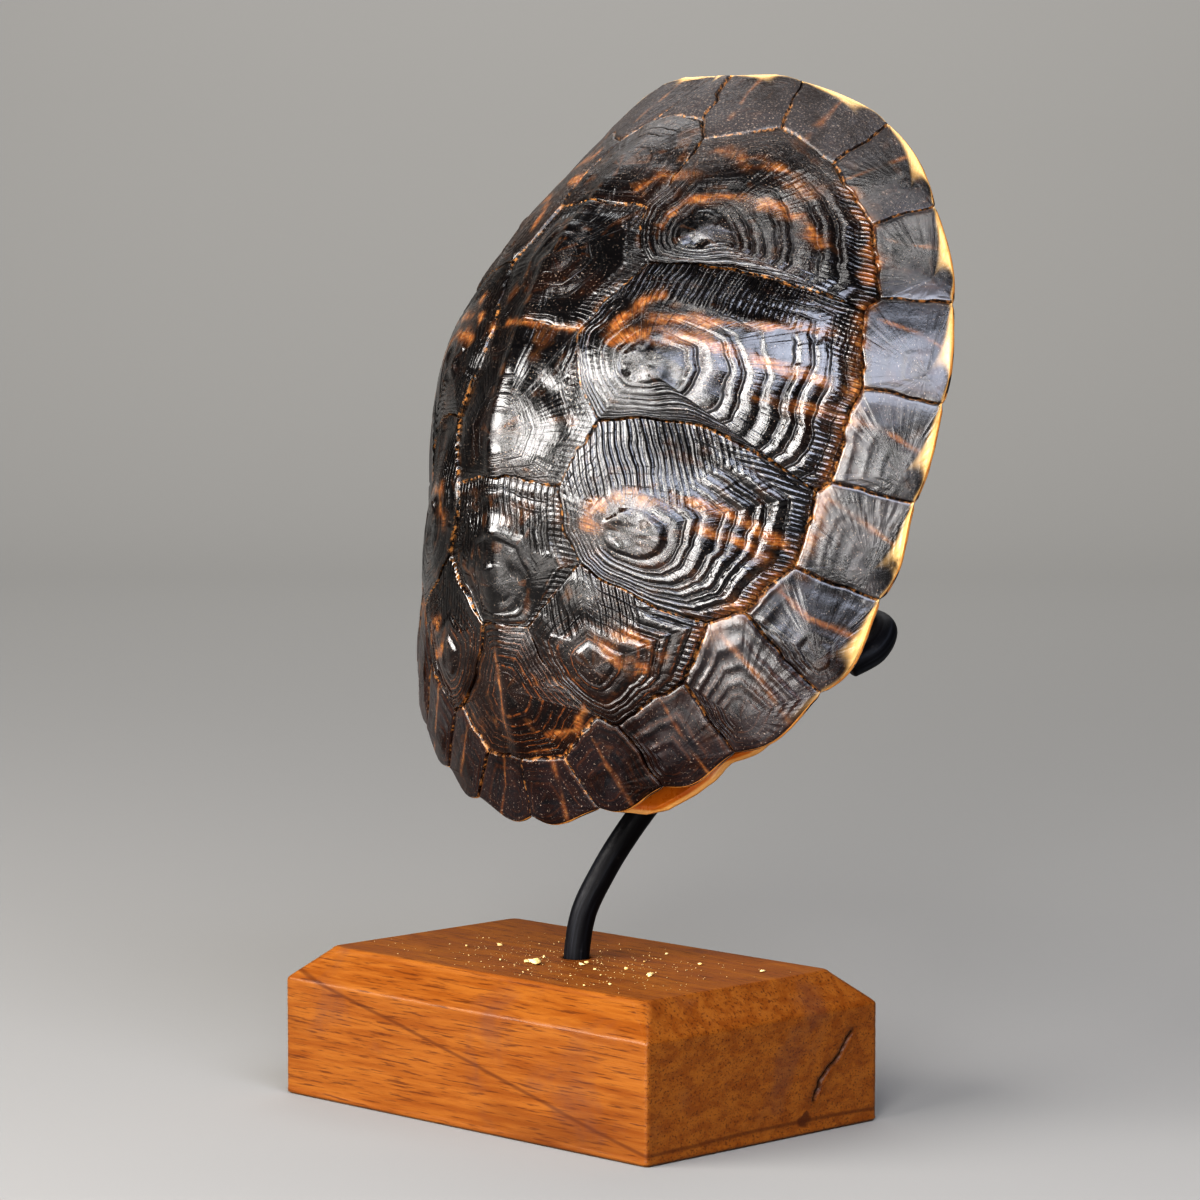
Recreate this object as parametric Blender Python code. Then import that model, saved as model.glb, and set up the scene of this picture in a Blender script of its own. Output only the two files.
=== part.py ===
# A dried turtle shell held by one bent steel rod above a chamfered wooden block.
# Lengths are in millimetres until they go into a mesh, which is in metres.
# The shell is worked out in its own frame: X to the animal's right, Y to its
# head, Z to its back, and its object is then turned upright over the block.

import math

import bpy
import bmesh
import numpy as np
from mathutils import Euler, Matrix, Vector

MM = 0.001
GAP = 0.3

# Wooden block
BLOCK_LENGTH = 120.0
BLOCK_WIDTH = 75.0
BLOCK_HEIGHT = 35.0
CHAMFER_INSET = 8.0
CHAMFER_DROP = 7.5

# Steel rod and its hole in the block
ROD_DIAMETER = 6.0
ROD_HOLE_DEPTH = 22.0
ROD_SIDES_SETTING = 3
ROD_POINTS = 56

# Where the shell's own frame stands over the block
SHELL_PLACE = (10.7, 18.4, 150.0)
SHELL_TURN = (66.9, -1.0, 3.8)

# The dome of the shell: top height, plan centre, fullness and rim flare
DOME_HEIGHT = 56.0
DOME_CENTRE_Y = 1.0
FULLNESS_FRONT = 1.93
FULLNESS_SIDE = 1.73
FULLNESS_REAR = 1.85
RIM_FLARE = 0.42
KEEL_RISE = 1.6
KEEL_HALF_WIDTH = 5.0

# Outer ends of the seams between the rim plates, front middle to tail: x, y, z
RIM_SEAMS = (
    (0.0, 90.2, 14.2),
    (2.2, 90.2, 14.2),
    (21.0, 89.7, 11.0),
    (42.0, 82.3, 2.4),
    (59.8, 62.6, 0.4),
    (72.5, 38.8, 1.4),
    (76.6, 15.0, 1.3),
    (73.6, -7.5, -1.2),
    (68.4, -29.4, -4.1),
    (61.1, -52.6, -0.9),
    (46.7, -69.4, 5.4),
    (32.5, -79.6, 9.6),
    (18.4, -86.6, 12.3),
    (0.0, -90.2, 13.7),
)

# Inner ends of those seams, in the same order: x, y
INNER_SEAMS = (
    (0.0, 75.2),
    (7.4, 74.1),
    (25.5, 74.6),
    (38.8, 67.9),
    (52.4, 53.7),
    (61.2, 35.5),
    (63.9, 13.7),
    (60.5, -7.9),
    (55.2, -27.6),
    (48.7, -40.2),
    (38.3, -57.7),
    (24.6, -69.3),
    (11.6, -77.8),
    (0.0, -79.4),
)

# Corners between the large plates on the right half: x, y
CORNERS = {
    "v1Rim": (12.5, 67.4),
    "v1v2": (12.9, 46.2),
    "v2c1c2": (20.7, 31.2),
    "v2v3": (13.0, 12.1),
    "v3c2c3": (21.0, -7.7),
    "v3v4": (15.3, -23.3),
    "v4c3c4": (19.7, -38.5),
    "v4v5": (6.8, -53.1),
    "v5Rim": (20.6, -68.5),
    "c1c2Rim": (60.0, 31.7),
    "c2c3Rim": (58.3, -10.8),
    "c3c4Rim": (42.8, -44.5),
}

# The oldest part of each large plate, which its growth rings surround: x, y
AREOLAS = {
    "v1": (0.0, 55.5),
    "v2": (0.0, 27.0),
    "v3": (0.0, -10.0),
    "v4": (0.0, -42.0),
    "v5": (0.0, -68.0),
    "c1": (28.0, 41.0),
    "c2": (30.0, 7.0),
    "c3": (31.0, -28.5),
    "c4": (21.0, -58.0),
}

# Relief of a plate: seam groove, raised shoulder and raised middle
SEAM_DEPTH = 0.9
SHOULDER_RISE = 0.5
AREOLA_RISE = 1.3
SEAM_STEP = 6.5
PLATE_ROWS = (0.3, 0.62, 0.9, 1.0)
RIM_PLATE_ROWS = (0.5, 0.86, 1.0)
FRONT_PLATE_ROWS = (0.8, 1.0)
SLOPE_STEP = 0.5

# Teeth of the rim: how far each plate's edge stands out past its seams
TOOTH_FRONT = 0.4
TOOTH_REAR = 1.6
RIM_ARC_STEPS = 5

# Underside of the rim: share of the way out, and height over the edge
RIM_UNDERSIDE = ((0.985, -1.5), (0.93, -1.3), (0.87, 0.8), (0.83, 5.0))
INNER_ROWS = (0.76, 0.62, 0.45, 0.25)
WALL = 3.4

# Lower shell: height of its plate, its wall, and the half width along it
LOWER_Z = -20.0
LOWER_WALL = 3.2
LOWER_OUTLINE = (
    (83.0, 14.0),
    (81.0, 24.0),
    (74.0, 32.0),
    (64.0, 38.0),
    (50.0, 42.5),
    (42.0, 44.0),
)
BRIDGE_FRONT = 37.0
BRIDGE_BACK = -33.0
BRIDGE_SECTIONS = 9
BRIDGE_REACH = 0.9
BRIDGE_START = 43.0
BRIDGE_BEND_START = 38.7
BRIDGE_BEND_POWER = 1.3
BRIDGE_END_RISE = 3.0
NOTCH_SHARE = 0.72
LOWER_COLUMNS = 17
HIND_OUTLINE = (
    (-39.0, 46.5),
    (-44.0, 46.0),
    (-49.0, 44.2),
    (-54.4, 41.5),
    (-59.4, 37.2),
    (-63.3, 32.4),
    (-65.9, 25.6),
    (-70.2, 22.6),
    (-73.9, 18.0),
    (-78.0, 11.0),
    (-79.6, 5.0),
)

# Route of the rod's middle line: up from the block, in the block's frame, then
# behind the lower shell and round into the leg opening, in the shell's frame
ROD_FOOT = (
    (0.0, 0.0, 13.4),
    (0.0, 0.0, 24.0),
    (0.0, 0.0, 37.0),
    (0.8, 1.2, 45.0),
    (3.9, 4.7, 55.0),
)
ROD_BEHIND_SHELL = (
    (-2.4, -79.0, -24.2),
    (8.0, -64.0, -23.7),
    (20.0, -49.0, -23.7),
    (33.0, -37.0, -23.7),
    (45.0, -31.0, -23.4),
    (54.0, -29.5, -21.5),
    (60.3, -32.6, -18.3),
    (61.8, -38.2, -14.6),
    (58.6, -43.0, -11.0),
)


def clearScene():
    for item in list(bpy.data.objects):
        bpy.data.objects.remove(item, do_unlink=True)


def makeCollection(name):
    group = bpy.data.collections.new(name)
    bpy.context.scene.collection.children.link(group)
    return group


def makeMaterial(name, colour, roughness, metallic):
    material = bpy.data.materials.new(name)
    material.use_nodes = True
    shader = material.node_tree.nodes["Principled BSDF"]
    shader.inputs["Base Color"].default_value = (*colour, 1.0)
    shader.inputs["Roughness"].default_value = roughness
    shader.inputs["Metallic"].default_value = metallic
    return material


# A smooth curve through given values, from slopes averaged at each of them
def smoothCurve(at, places, values):
    steps = np.diff(places)
    slopes = np.diff(values) / steps
    ends = np.empty_like(values)
    ends[1:-1] = (slopes[:-1] * steps[1:] + slopes[1:] * steps[:-1]) / (steps[1:] + steps[:-1])
    ends[0] = slopes[0]
    ends[-1] = slopes[-1]
    i = np.clip(np.searchsorted(places, at, side="right") - 1, 0, len(places) - 2)
    s = (at - places[i]) / steps[i]
    held = (2 * s**3 - 3 * s**2 + 1) * values[i] + (3 * s**2 - 2 * s**3) * values[i + 1]
    turned = (s**3 - 2 * s**2 + s) * ends[i] + (s**3 - s**2) * ends[i + 1]
    return held + turned * steps[i]


# Rim radius and height against the angle from the head, the same on both sides
def rimTables():
    rim = np.array([row for i, row in enumerate(RIM_SEAMS) if i != 1])
    angle = np.arctan2(rim[:, 0], rim[:, 1] - DOME_CENTRE_Y)
    radius = np.hypot(rim[:, 0], rim[:, 1] - DOME_CENTRE_Y)
    places = np.concatenate([-angle[:0:-1], angle, 2 * math.pi - angle[-2::-1]])
    radii = np.concatenate([radius[:0:-1], radius, radius[-2::-1]])
    heights = np.concatenate([rim[:0:-1, 2], rim[:, 2], rim[-2::-1, 2]])
    return places, radii, heights


RIM_ANGLES, RIM_RADII, RIM_HEIGHTS = rimTables()


def rimAt(angle):
    angle = np.arctan2(np.sin(angle), np.cos(angle))
    radius = smoothCurve(angle, RIM_ANGLES, RIM_RADII)
    height = smoothCurve(angle, RIM_ANGLES, RIM_HEIGHTS)
    return radius, height


# Height of the smooth dome over plan points, with a low keel along its middle
def domeHeight(x, y):
    angle = np.arctan2(x, y - DOME_CENTRE_Y)
    radius, rimZ = rimAt(angle)
    out = np.hypot(x, y - DOME_CENTRE_Y) / radius
    ahead = np.clip(np.cos(angle), 0, 1) ** 2
    behind = np.clip(-np.cos(angle), 0, 1) ** 2
    power = FULLNESS_SIDE * np.sin(angle) ** 2 + FULLNESS_FRONT * ahead + FULLNESS_REAR * behind
    rise = 1 - out**power - RIM_FLARE * out**3 * (1 - out)
    keel = KEEL_RISE * np.exp(-((x / KEEL_HALF_WIDTH) ** 2)) * np.clip(1 - out**4, 0, 1)
    return rimZ + (DOME_HEIGHT - rimZ) * rise + keel


def domePoint(x, y, lift):
    step = SLOPE_STEP
    slopeX = (domeHeight(x + step, y) - domeHeight(x - step, y)) / (2 * step)
    slopeY = (domeHeight(x, y + step) - domeHeight(x, y - step)) / (2 * step)
    size = np.sqrt(slopeX**2 + slopeY**2 + 1)
    return np.stack(
        [x - lift * slopeX / size, y - lift * slopeY / size, domeHeight(x, y) + lift / size], -1
    )


# Plan points of one rim plate's outer edge, with its tooth towards the tail
def rimArc(start, end, steps, tooth):
    a0 = math.atan2(start[0], start[1] - DOME_CENTRE_Y)
    a1 = math.atan2(end[0], end[1] - DOME_CENTRE_Y)
    share = np.linspace(0, 1, steps + 1)
    angle = a0 + (a1 - a0) * share
    radius, _ = rimAt(angle)
    bulge = tooth * np.sin(math.pi * share**1.6) ** 1.2
    radius = radius + np.where((share > 0) & (share < 1), bulge, 0.0)
    points = np.stack([radius * np.sin(angle), DOME_CENTRE_Y + radius * np.cos(angle)], -1)
    points[0] = start
    points[-1] = end
    return points


def seamLine(start, end):
    start = np.array(start)
    end = np.array(end)
    steps = max(1, round(float(np.linalg.norm(end - start)) / SEAM_STEP))
    share = np.linspace(0, 1, steps + 1)[:, None]
    return start + (end - start) * share


def flip(point):
    return (-point[0], point[1])


def toothSize(index):
    return TOOTH_FRONT + (TOOTH_REAR - TOOTH_FRONT) * min(1.0, max(0.0, (index - 6) / 3.0))


# Corners and areola of every large plate: five on the midline, four a side
def largePlates():
    c = CORNERS
    s = INNER_SEAMS
    plates = []
    halves = {
        "v1": [s[0], s[1], c["v1Rim"], c["v1v2"]],
        "v2": [c["v1v2"], c["v2c1c2"], c["v2v3"]],
        "v3": [c["v2v3"], c["v3c2c3"], c["v3v4"]],
        "v4": [c["v3v4"], c["v4c3c4"], c["v4v5"]],
        "v5": [c["v4v5"], c["v5Rim"], s[12], s[13]],
    }
    for name, right in halves.items():
        left = [flip(p) for p in reversed(right) if p[0] > 0]
        plates.append((AREOLAS[name], right + left))
    sides = {
        "c1": [c["v1Rim"], s[2], s[3], s[4], s[5], c["c1c2Rim"], c["v2c1c2"], c["v1v2"]],
        "c2": [c["v2c1c2"], c["c1c2Rim"], s[6], s[7], c["c2c3Rim"], c["v3c2c3"], c["v2v3"]],
        "c3": [c["v3c2c3"], c["c2c3Rim"], s[8], s[9], c["c3c4Rim"], c["v4c3c4"], c["v3v4"]],
        "c4": [c["v4c3c4"], c["c3c4Rim"], s[10], s[11], c["v5Rim"], c["v4v5"]],
    }
    for name, corners in sides.items():
        plates.append((AREOLAS[name], corners))
        plates.append((flip(AREOLAS[name]), [flip(p) for p in reversed(corners)]))
    return plates


# Extra corners where a large plate's seam meets the inner side of a rim plate
def innerSide(index):
    extra = {1: "v1Rim", 5: "c1c2Rim", 7: "c2c3Rim", 9: "c3c4Rim", 11: "v5Rim"}
    points = [INNER_SEAMS[index + 1]]
    if index in extra:
        points.append(CORNERS[extra[index]])
    points.append(INNER_SEAMS[index])
    return points


# Boundary of a plate as plan points, with 1 along seams and 0 on the free edge
def closedBoundary(lines):
    points = []
    groove = []
    for line, isSeam in lines:
        for i, point in enumerate(line[:-1]):
            points.append(point)
            groove.append(1.0 if isSeam or i == 0 else 0.0)
    return np.array(points), np.array(groove)


def largeBoundary(corners):
    pairs = zip(corners, corners[1:] + corners[:1])
    return closedBoundary([(seamLine(a, b), True) for a, b in pairs])


def rimBoundary(index):
    start = RIM_SEAMS[index][:2]
    end = RIM_SEAMS[index + 1][:2]
    inner = innerSide(index)
    lines = [(rimArc(start, end, RIM_ARC_STEPS, toothSize(index)), False)]
    chain = [end] + inner + [start]
    lines += [(seamLine(a, b), True) for a, b in zip(chain[:-1], chain[1:])]
    return closedBoundary(lines)


def frontPlateBoundary():
    corner = RIM_SEAMS[1][:2]
    inner = [INNER_SEAMS[1], INNER_SEAMS[0], flip(INNER_SEAMS[1])]
    lines = [(np.array([flip(corner), RIM_SEAMS[0][:2], corner]), False)]
    chain = [corner] + inner + [flip(corner)]
    lines += [(seamLine(a, b), True) for a, b in zip(chain[:-1], chain[1:])]
    return closedBoundary(lines)


# Adds one plate as rings of points from its areola out to its boundary
def addPlate(mesh, centre, boundary, groove, rows, rise):
    rings = []
    for out in rows:
        plan = centre + (boundary - centre) * out
        if out == 1.0:
            lift = -SEAM_DEPTH * groove
        else:
            lift = SHOULDER_RISE + (rise - SHOULDER_RISE) * (1 - out) ** 0.7
            lift = np.full(len(boundary), lift)
        rings.append(domePoint(plan[:, 0], plan[:, 1], lift))
    middle = domePoint(np.array([centre[0]]), np.array([centre[1]]), rise)[0]
    vertices = [[mesh.verts.new(point * MM) for point in ring] for ring in rings]
    top = mesh.verts.new(middle * MM)
    count = len(boundary)
    for j in range(count):
        k = (j + 1) % count
        mesh.faces.new((top, vertices[0][k], vertices[0][j]))
        for inner, outer in zip(vertices[:-1], vertices[1:]):
            mesh.faces.new((inner[j], inner[k], outer[k], outer[j]))


# The rim's whole edge as one closed loop of plan points
def rimLoop():
    right = [RIM_SEAMS[0][:2]]
    for index in range(1, len(RIM_SEAMS) - 1):
        start = RIM_SEAMS[index][:2]
        end = RIM_SEAMS[index + 1][:2]
        arc = rimArc(start, end, RIM_ARC_STEPS, toothSize(index))
        right += [tuple(point) for point in arc[:-1]]
    right.append(RIM_SEAMS[-1][:2])
    left = [flip(point) for point in reversed(right[1:-1])]
    return np.array(right + left)


# Rows of points for the rim's underside and the inside of the dome
def undersideRows():
    loop = rimLoop()
    centre = np.array([0.0, DOME_CENTRE_Y])
    isSeamEnd = np.zeros(len(loop))
    for seam in RIM_SEAMS[1:-1]:
        for point in (seam[:2], flip(seam)):
            isSeamEnd[np.argmin(np.hypot(*(loop - np.array(point)).T))] = 1.0
    isSeamEnd[np.argmin(np.hypot(*(loop - np.array(RIM_SEAMS[-1][:2])).T))] = 1.0
    rows = [domePoint(loop[:, 0], loop[:, 1], -SEAM_DEPTH * isSeamEnd)]
    edgeZ = domeHeight(loop[:, 0], loop[:, 1])
    for out, rise in RIM_UNDERSIDE:
        plan = centre + (loop - centre) * out
        rows.append(np.column_stack([plan, edgeZ + rise]))
    for out in INNER_ROWS:
        plan = centre + (loop - centre) * out
        rows.append(domePoint(plan[:, 0], plan[:, 1], -WALL))
    return rows


def makeUpperShell():
    mesh = bmesh.new()
    for centre, corners in largePlates():
        boundary, groove = largeBoundary(corners)
        addPlate(mesh, np.array(centre), boundary, groove, PLATE_ROWS, AREOLA_RISE)
    boundary, groove = frontPlateBoundary()
    addPlate(mesh, boundary.mean(axis=0), boundary, groove, FRONT_PLATE_ROWS, SHOULDER_RISE)
    for index in range(1, len(RIM_SEAMS) - 1):
        boundary, groove = rimBoundary(index)
        centre = boundary.mean(axis=0)
        for side in (1, -1):
            points = boundary * np.array([side, 1])
            middle = centre * np.array([side, 1])
            if side < 0:
                points = points[::-1]
            grooves = groove if side > 0 else groove[::-1]
            addPlate(mesh, middle, points, grooves, RIM_PLATE_ROWS, SHOULDER_RISE)
    rows = undersideRows()
    rings = [[mesh.verts.new(point * MM) for point in row] for row in rows]
    pole = domePoint(np.array([0.0]), np.array([DOME_CENTRE_Y]), -WALL)[0]
    top = mesh.verts.new(pole * MM)
    count = len(rings[0])
    for j in range(count):
        k = (j + 1) % count
        for outer, inner in zip(rings[:-1], rings[1:]):
            mesh.faces.new((outer[j], outer[k], inner[k], inner[j]))
        mesh.faces.new((rings[-1][j], rings[-1][k], top))
    bmesh.ops.remove_doubles(mesh, verts=mesh.verts, dist=0.01 * MM)
    bmesh.ops.recalc_face_normals(mesh, faces=mesh.faces)
    return finishMesh(mesh, "upper shell")


def finishMesh(mesh, name):
    data = bpy.data.meshes.new(name)
    bmesh.ops.triangulate(mesh, faces=mesh.faces)
    mesh.to_mesh(data)
    mesh.free()
    return data


# How far out the rim stands beside a place along the shell, and how high
def rimBeside(y):
    across = 74.0
    for _ in range(6):
        radius, height = rimAt(np.array([math.atan2(across, y - DOME_CENTRE_Y)]))
        across = math.sqrt(float(radius[0]) ** 2 - (y - DOME_CENTRE_Y) ** 2)
    return across, float(height[0])


# Sections of the lower shell from the throat to the tail: y, half width, end height
def lowerSections():
    sections = [(y, w, 0.0) for y, w in LOWER_OUTLINE]
    last = BRIDGE_SECTIONS - 1
    for i in range(BRIDGE_SECTIONS):
        y = BRIDGE_FRONT + (BRIDGE_BACK - BRIDGE_FRONT) * i / last
        across, height = rimBeside(y)
        full = 1.0 if 0 < i < last else NOTCH_SHARE
        reach = BRIDGE_START + (across * BRIDGE_REACH - BRIDGE_START) * full
        rise = (height + BRIDGE_END_RISE - LOWER_Z) * full**1.5
        sections.append((y, reach, rise))
    sections += [(y, w, 0.0) for y, w in HIND_OUTLINE]
    return sections


def makeLowerShell():
    mesh = bmesh.new()
    columns = LOWER_COLUMNS
    rows = []
    for y, reach, rise in lowerSections():
        share = np.linspace(-1, 1, columns)
        x = reach * share
        bend = (np.abs(x) - BRIDGE_BEND_START) / max(reach - BRIDGE_BEND_START, 1.0)
        z = LOWER_Z + rise * np.clip(bend, 0, 1) ** BRIDGE_BEND_POWER
        inner = np.column_stack([x, np.full(columns, y), z + LOWER_WALL])
        outer = np.column_stack([x, np.full(columns, y), z])
        rows.append(([mesh.verts.new(p * MM) for p in outer], [mesh.verts.new(p * MM) for p in inner]))
    for (outA, inA), (outB, inB) in zip(rows[:-1], rows[1:]):
        for i in range(columns - 1):
            mesh.faces.new((outA[i], outA[i + 1], outB[i + 1], outB[i]))
            mesh.faces.new((inA[i], inB[i], inB[i + 1], inA[i + 1]))
        mesh.faces.new((outA[0], outB[0], inB[0], inA[0]))
        mesh.faces.new((outA[-1], inA[-1], inB[-1], outB[-1]))
    for out, into in (rows[0], rows[-1]):
        for i in range(columns - 1):
            mesh.faces.new((out[i], into[i], into[i + 1], out[i + 1]))
    bmesh.ops.recalc_face_normals(mesh, faces=mesh.faces)
    return finishMesh(mesh, "lower shell")


def makeShell(group, cutters):
    shell = bpy.data.objects.new("shell", makeUpperShell())
    lower = bpy.data.objects.new("lowerShell", makeLowerShell())
    group.objects.link(shell)
    cutters.objects.link(lower)
    lower.hide_render = True
    lower.display_type = "WIRE"
    for item in (shell, lower):
        item.location = Vector(SHELL_PLACE) * MM
        item.rotation_euler = [math.radians(a) for a in SHELL_TURN]
    join = shell.modifiers.new("grown together", "BOOLEAN")
    join.operation = "UNION"
    join.object = lower
    join.solver = "EXACT"
    shell.data.materials.append(makeMaterial("horn", (0.09, 0.055, 0.035), 0.3, 0.0))
    return shell


def makeBlock(group, cutters):
    mesh = bmesh.new()
    bmesh.ops.create_cube(mesh, size=1.0)
    size = Vector((BLOCK_LENGTH, BLOCK_WIDTH, BLOCK_HEIGHT)) * MM
    for vertex in mesh.verts:
        vertex.co = Vector(a * b for a, b in zip(vertex.co, size))
        vertex.co.z += size.z / 2
    cut = (BLOCK_HEIGHT - CHAMFER_DROP) * MM
    everything = mesh.verts[:] + mesh.edges[:] + mesh.faces[:]
    bmesh.ops.bisect_plane(mesh, geom=everything, plane_co=(0, 0, cut), plane_no=(0, 0, 1))
    for vertex in mesh.verts:
        if vertex.co.z > cut + 0.1 * MM:
            vertex.co.x -= math.copysign(CHAMFER_INSET * MM, vertex.co.x)
            vertex.co.y -= math.copysign(CHAMFER_INSET * MM, vertex.co.y)
    data = bpy.data.meshes.new("base_block")
    mesh.to_mesh(data)
    mesh.free()
    block = bpy.data.objects.new("base_block", data)
    group.objects.link(block)
    depth = ROD_HOLE_DEPTH * MM
    bpy.ops.mesh.primitive_cylinder_add(
        vertices=32, radius=(ROD_DIAMETER / 2 + GAP) * MM, depth=2 * depth,
        location=(0, 0, BLOCK_HEIGHT * MM),
    )
    drill = bpy.context.object
    drill.name = "rodDrill"
    for owner in list(drill.users_collection):
        owner.objects.unlink(drill)
    cutters.objects.link(drill)
    drill.hide_render = True
    drill.display_type = "WIRE"
    bore = block.modifiers.new("rod hole", "BOOLEAN")
    bore.object = drill
    bore.solver = "EXACT"
    block.data.materials.append(makeMaterial("stained wood", (0.23, 0.08, 0.03), 0.4, 0.0))
    return block


# Evenly spaced points along a smooth curve through the rod's route
def rodPoints():
    place = Matrix.Translation(Vector(SHELL_PLACE))
    turn = Euler([math.radians(a) for a in SHELL_TURN]).to_matrix().to_4x4()
    route = np.array(list(ROD_FOOT) + [place @ turn @ Vector(p) for p in ROD_BEHIND_SHELL])
    along = np.concatenate([[0], np.cumsum(np.linalg.norm(np.diff(route, axis=0), axis=1))])
    fine = np.linspace(0, along[-1], 800)
    line = np.column_stack([smoothCurve(fine, along, route[:, i]) for i in range(3)])
    done = np.concatenate([[0], np.cumsum(np.linalg.norm(np.diff(line, axis=0), axis=1))])
    even = np.linspace(0, done[-1], ROD_POINTS)
    return np.column_stack([np.interp(even, done, line[:, i]) for i in range(3)])


def makeRod(group):
    curve = bpy.data.curves.new("rod", "CURVE")
    curve.dimensions = "3D"
    curve.bevel_depth = ROD_DIAMETER / 2 * MM
    curve.bevel_resolution = ROD_SIDES_SETTING
    curve.use_fill_caps = True
    points = rodPoints()
    spline = curve.splines.new("POLY")
    spline.points.add(len(points) - 1)
    for place, point in zip(spline.points, points):
        place.co = (*(point * MM), 1.0)
    rod = bpy.data.objects.new("rod", curve)
    group.objects.link(rod)
    curve.materials.append(makeMaterial("blackened steel", (0.02, 0.02, 0.022), 0.45, 1.0))
    return rod


clearScene()
parts = makeCollection("mounted turtle shell")
tools = makeCollection("cutters")
makeBlock(parts, tools)
makeRod(parts)
makeShell(parts, tools)
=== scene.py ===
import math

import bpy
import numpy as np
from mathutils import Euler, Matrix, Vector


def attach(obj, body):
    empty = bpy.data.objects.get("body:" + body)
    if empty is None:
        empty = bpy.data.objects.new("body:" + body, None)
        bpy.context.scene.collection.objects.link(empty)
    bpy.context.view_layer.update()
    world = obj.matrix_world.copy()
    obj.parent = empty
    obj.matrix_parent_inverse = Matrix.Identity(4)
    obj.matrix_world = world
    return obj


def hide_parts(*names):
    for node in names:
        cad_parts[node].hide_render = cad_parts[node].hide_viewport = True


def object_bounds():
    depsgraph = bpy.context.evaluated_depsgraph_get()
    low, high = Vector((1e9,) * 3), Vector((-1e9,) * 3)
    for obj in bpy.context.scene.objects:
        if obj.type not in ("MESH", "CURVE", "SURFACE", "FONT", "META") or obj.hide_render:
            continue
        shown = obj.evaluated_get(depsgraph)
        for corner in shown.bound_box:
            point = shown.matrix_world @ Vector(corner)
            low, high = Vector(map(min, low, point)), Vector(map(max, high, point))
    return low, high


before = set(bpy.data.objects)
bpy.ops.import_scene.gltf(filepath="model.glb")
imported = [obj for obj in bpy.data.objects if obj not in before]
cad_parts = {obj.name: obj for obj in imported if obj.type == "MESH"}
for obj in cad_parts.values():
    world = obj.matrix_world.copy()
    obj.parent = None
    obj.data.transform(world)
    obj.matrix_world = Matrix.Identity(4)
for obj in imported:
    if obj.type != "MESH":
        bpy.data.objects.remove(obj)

# A dried turtle shell on a bent black rod over a stained wooden block.
# Lengths are in millimetres and become metres as they go into a mesh. The shell
# is worked out in its own frame (X its right, Y its head, Z its back).

cadBox = [list(map(float, corner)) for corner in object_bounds()]
mm = 0.001
boxLow, boxHigh = np.array(cadBox[0]) + 1e-5, np.array(cadBox[1]) - 1e-5
boxLow[2] = 0.0

# values of the whole shell, the same as the part's source has
shellForm = {
    "place": (10.7, 18.4, 150.0),      # where its own frame stands over the block
    "turn": (66.9, -1.0, 3.8),         # and how it is turned, in degrees
    "top": 56.0,                       # height of the dome over its own zero
    "centreY": 1.0,
    "fullFront": 1.93,                 # how full the dome is towards each end
    "fullSide": 1.73,
    "fullRear": 1.85,
    "flare": 0.42,                     # how far the rim flattens out
    "keelRise": 1.6,
    "keelHalf": 5.0,
    "toothFront": 0.4,
    "toothRear": 1.6,
    "wall": 3.4,
    "seamDepth": 0.9,
    "shoulder": 0.2,
    "areolaRise": 1.25,
}

# outer ends of the seams between rim plates, from the front middle to the tail
rimSeams = [
    (0.0, 90.2, 14.2), (2.2, 90.2, 14.2), (21.0, 89.7, 11.0), (42.0, 82.3, 2.4),
    (59.8, 62.6, 0.4), (72.5, 38.8, 1.4), (76.6, 15.0, 1.3), (73.6, -7.5, -1.2),
    (68.4, -29.4, -4.1), (61.1, -52.6, -0.9), (46.7, -69.4, 5.4), (32.5, -79.6, 9.6),
    (18.4, -86.6, 12.3), (0.0, -90.2, 13.7),
]
# inner ends of the same seams, in plan
innerSeams = [
    (0.0, 75.2), (7.4, 74.1), (25.5, 74.6), (38.8, 67.9), (52.4, 53.7), (61.2, 35.5),
    (63.9, 13.7), (60.5, -7.9), (55.2, -27.6), (48.7, -40.2), (38.3, -57.7),
    (24.6, -69.3), (11.6, -77.8), (0.0, -79.4),
]
# corners where the large plates meet, on the right half, in plan
corners = {
    "v1Rim": (12.5, 67.4), "v1v2": (12.9, 46.2), "v2c1c2": (20.7, 31.2),
    "v2v3": (13.0, 12.1), "v3c2c3": (21.0, -7.7), "v3v4": (15.3, -23.3),
    "v4c3c4": (19.7, -38.5), "v4v5": (6.8, -53.1), "v5Rim": (20.6, -68.5),
    "c1c2Rim": (60.0, 31.7), "c2c3Rim": (58.3, -10.8), "c3c4Rim": (42.8, -44.5),
}
for number, place in enumerate(innerSeams):
    corners["s%d" % number] = place

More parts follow.
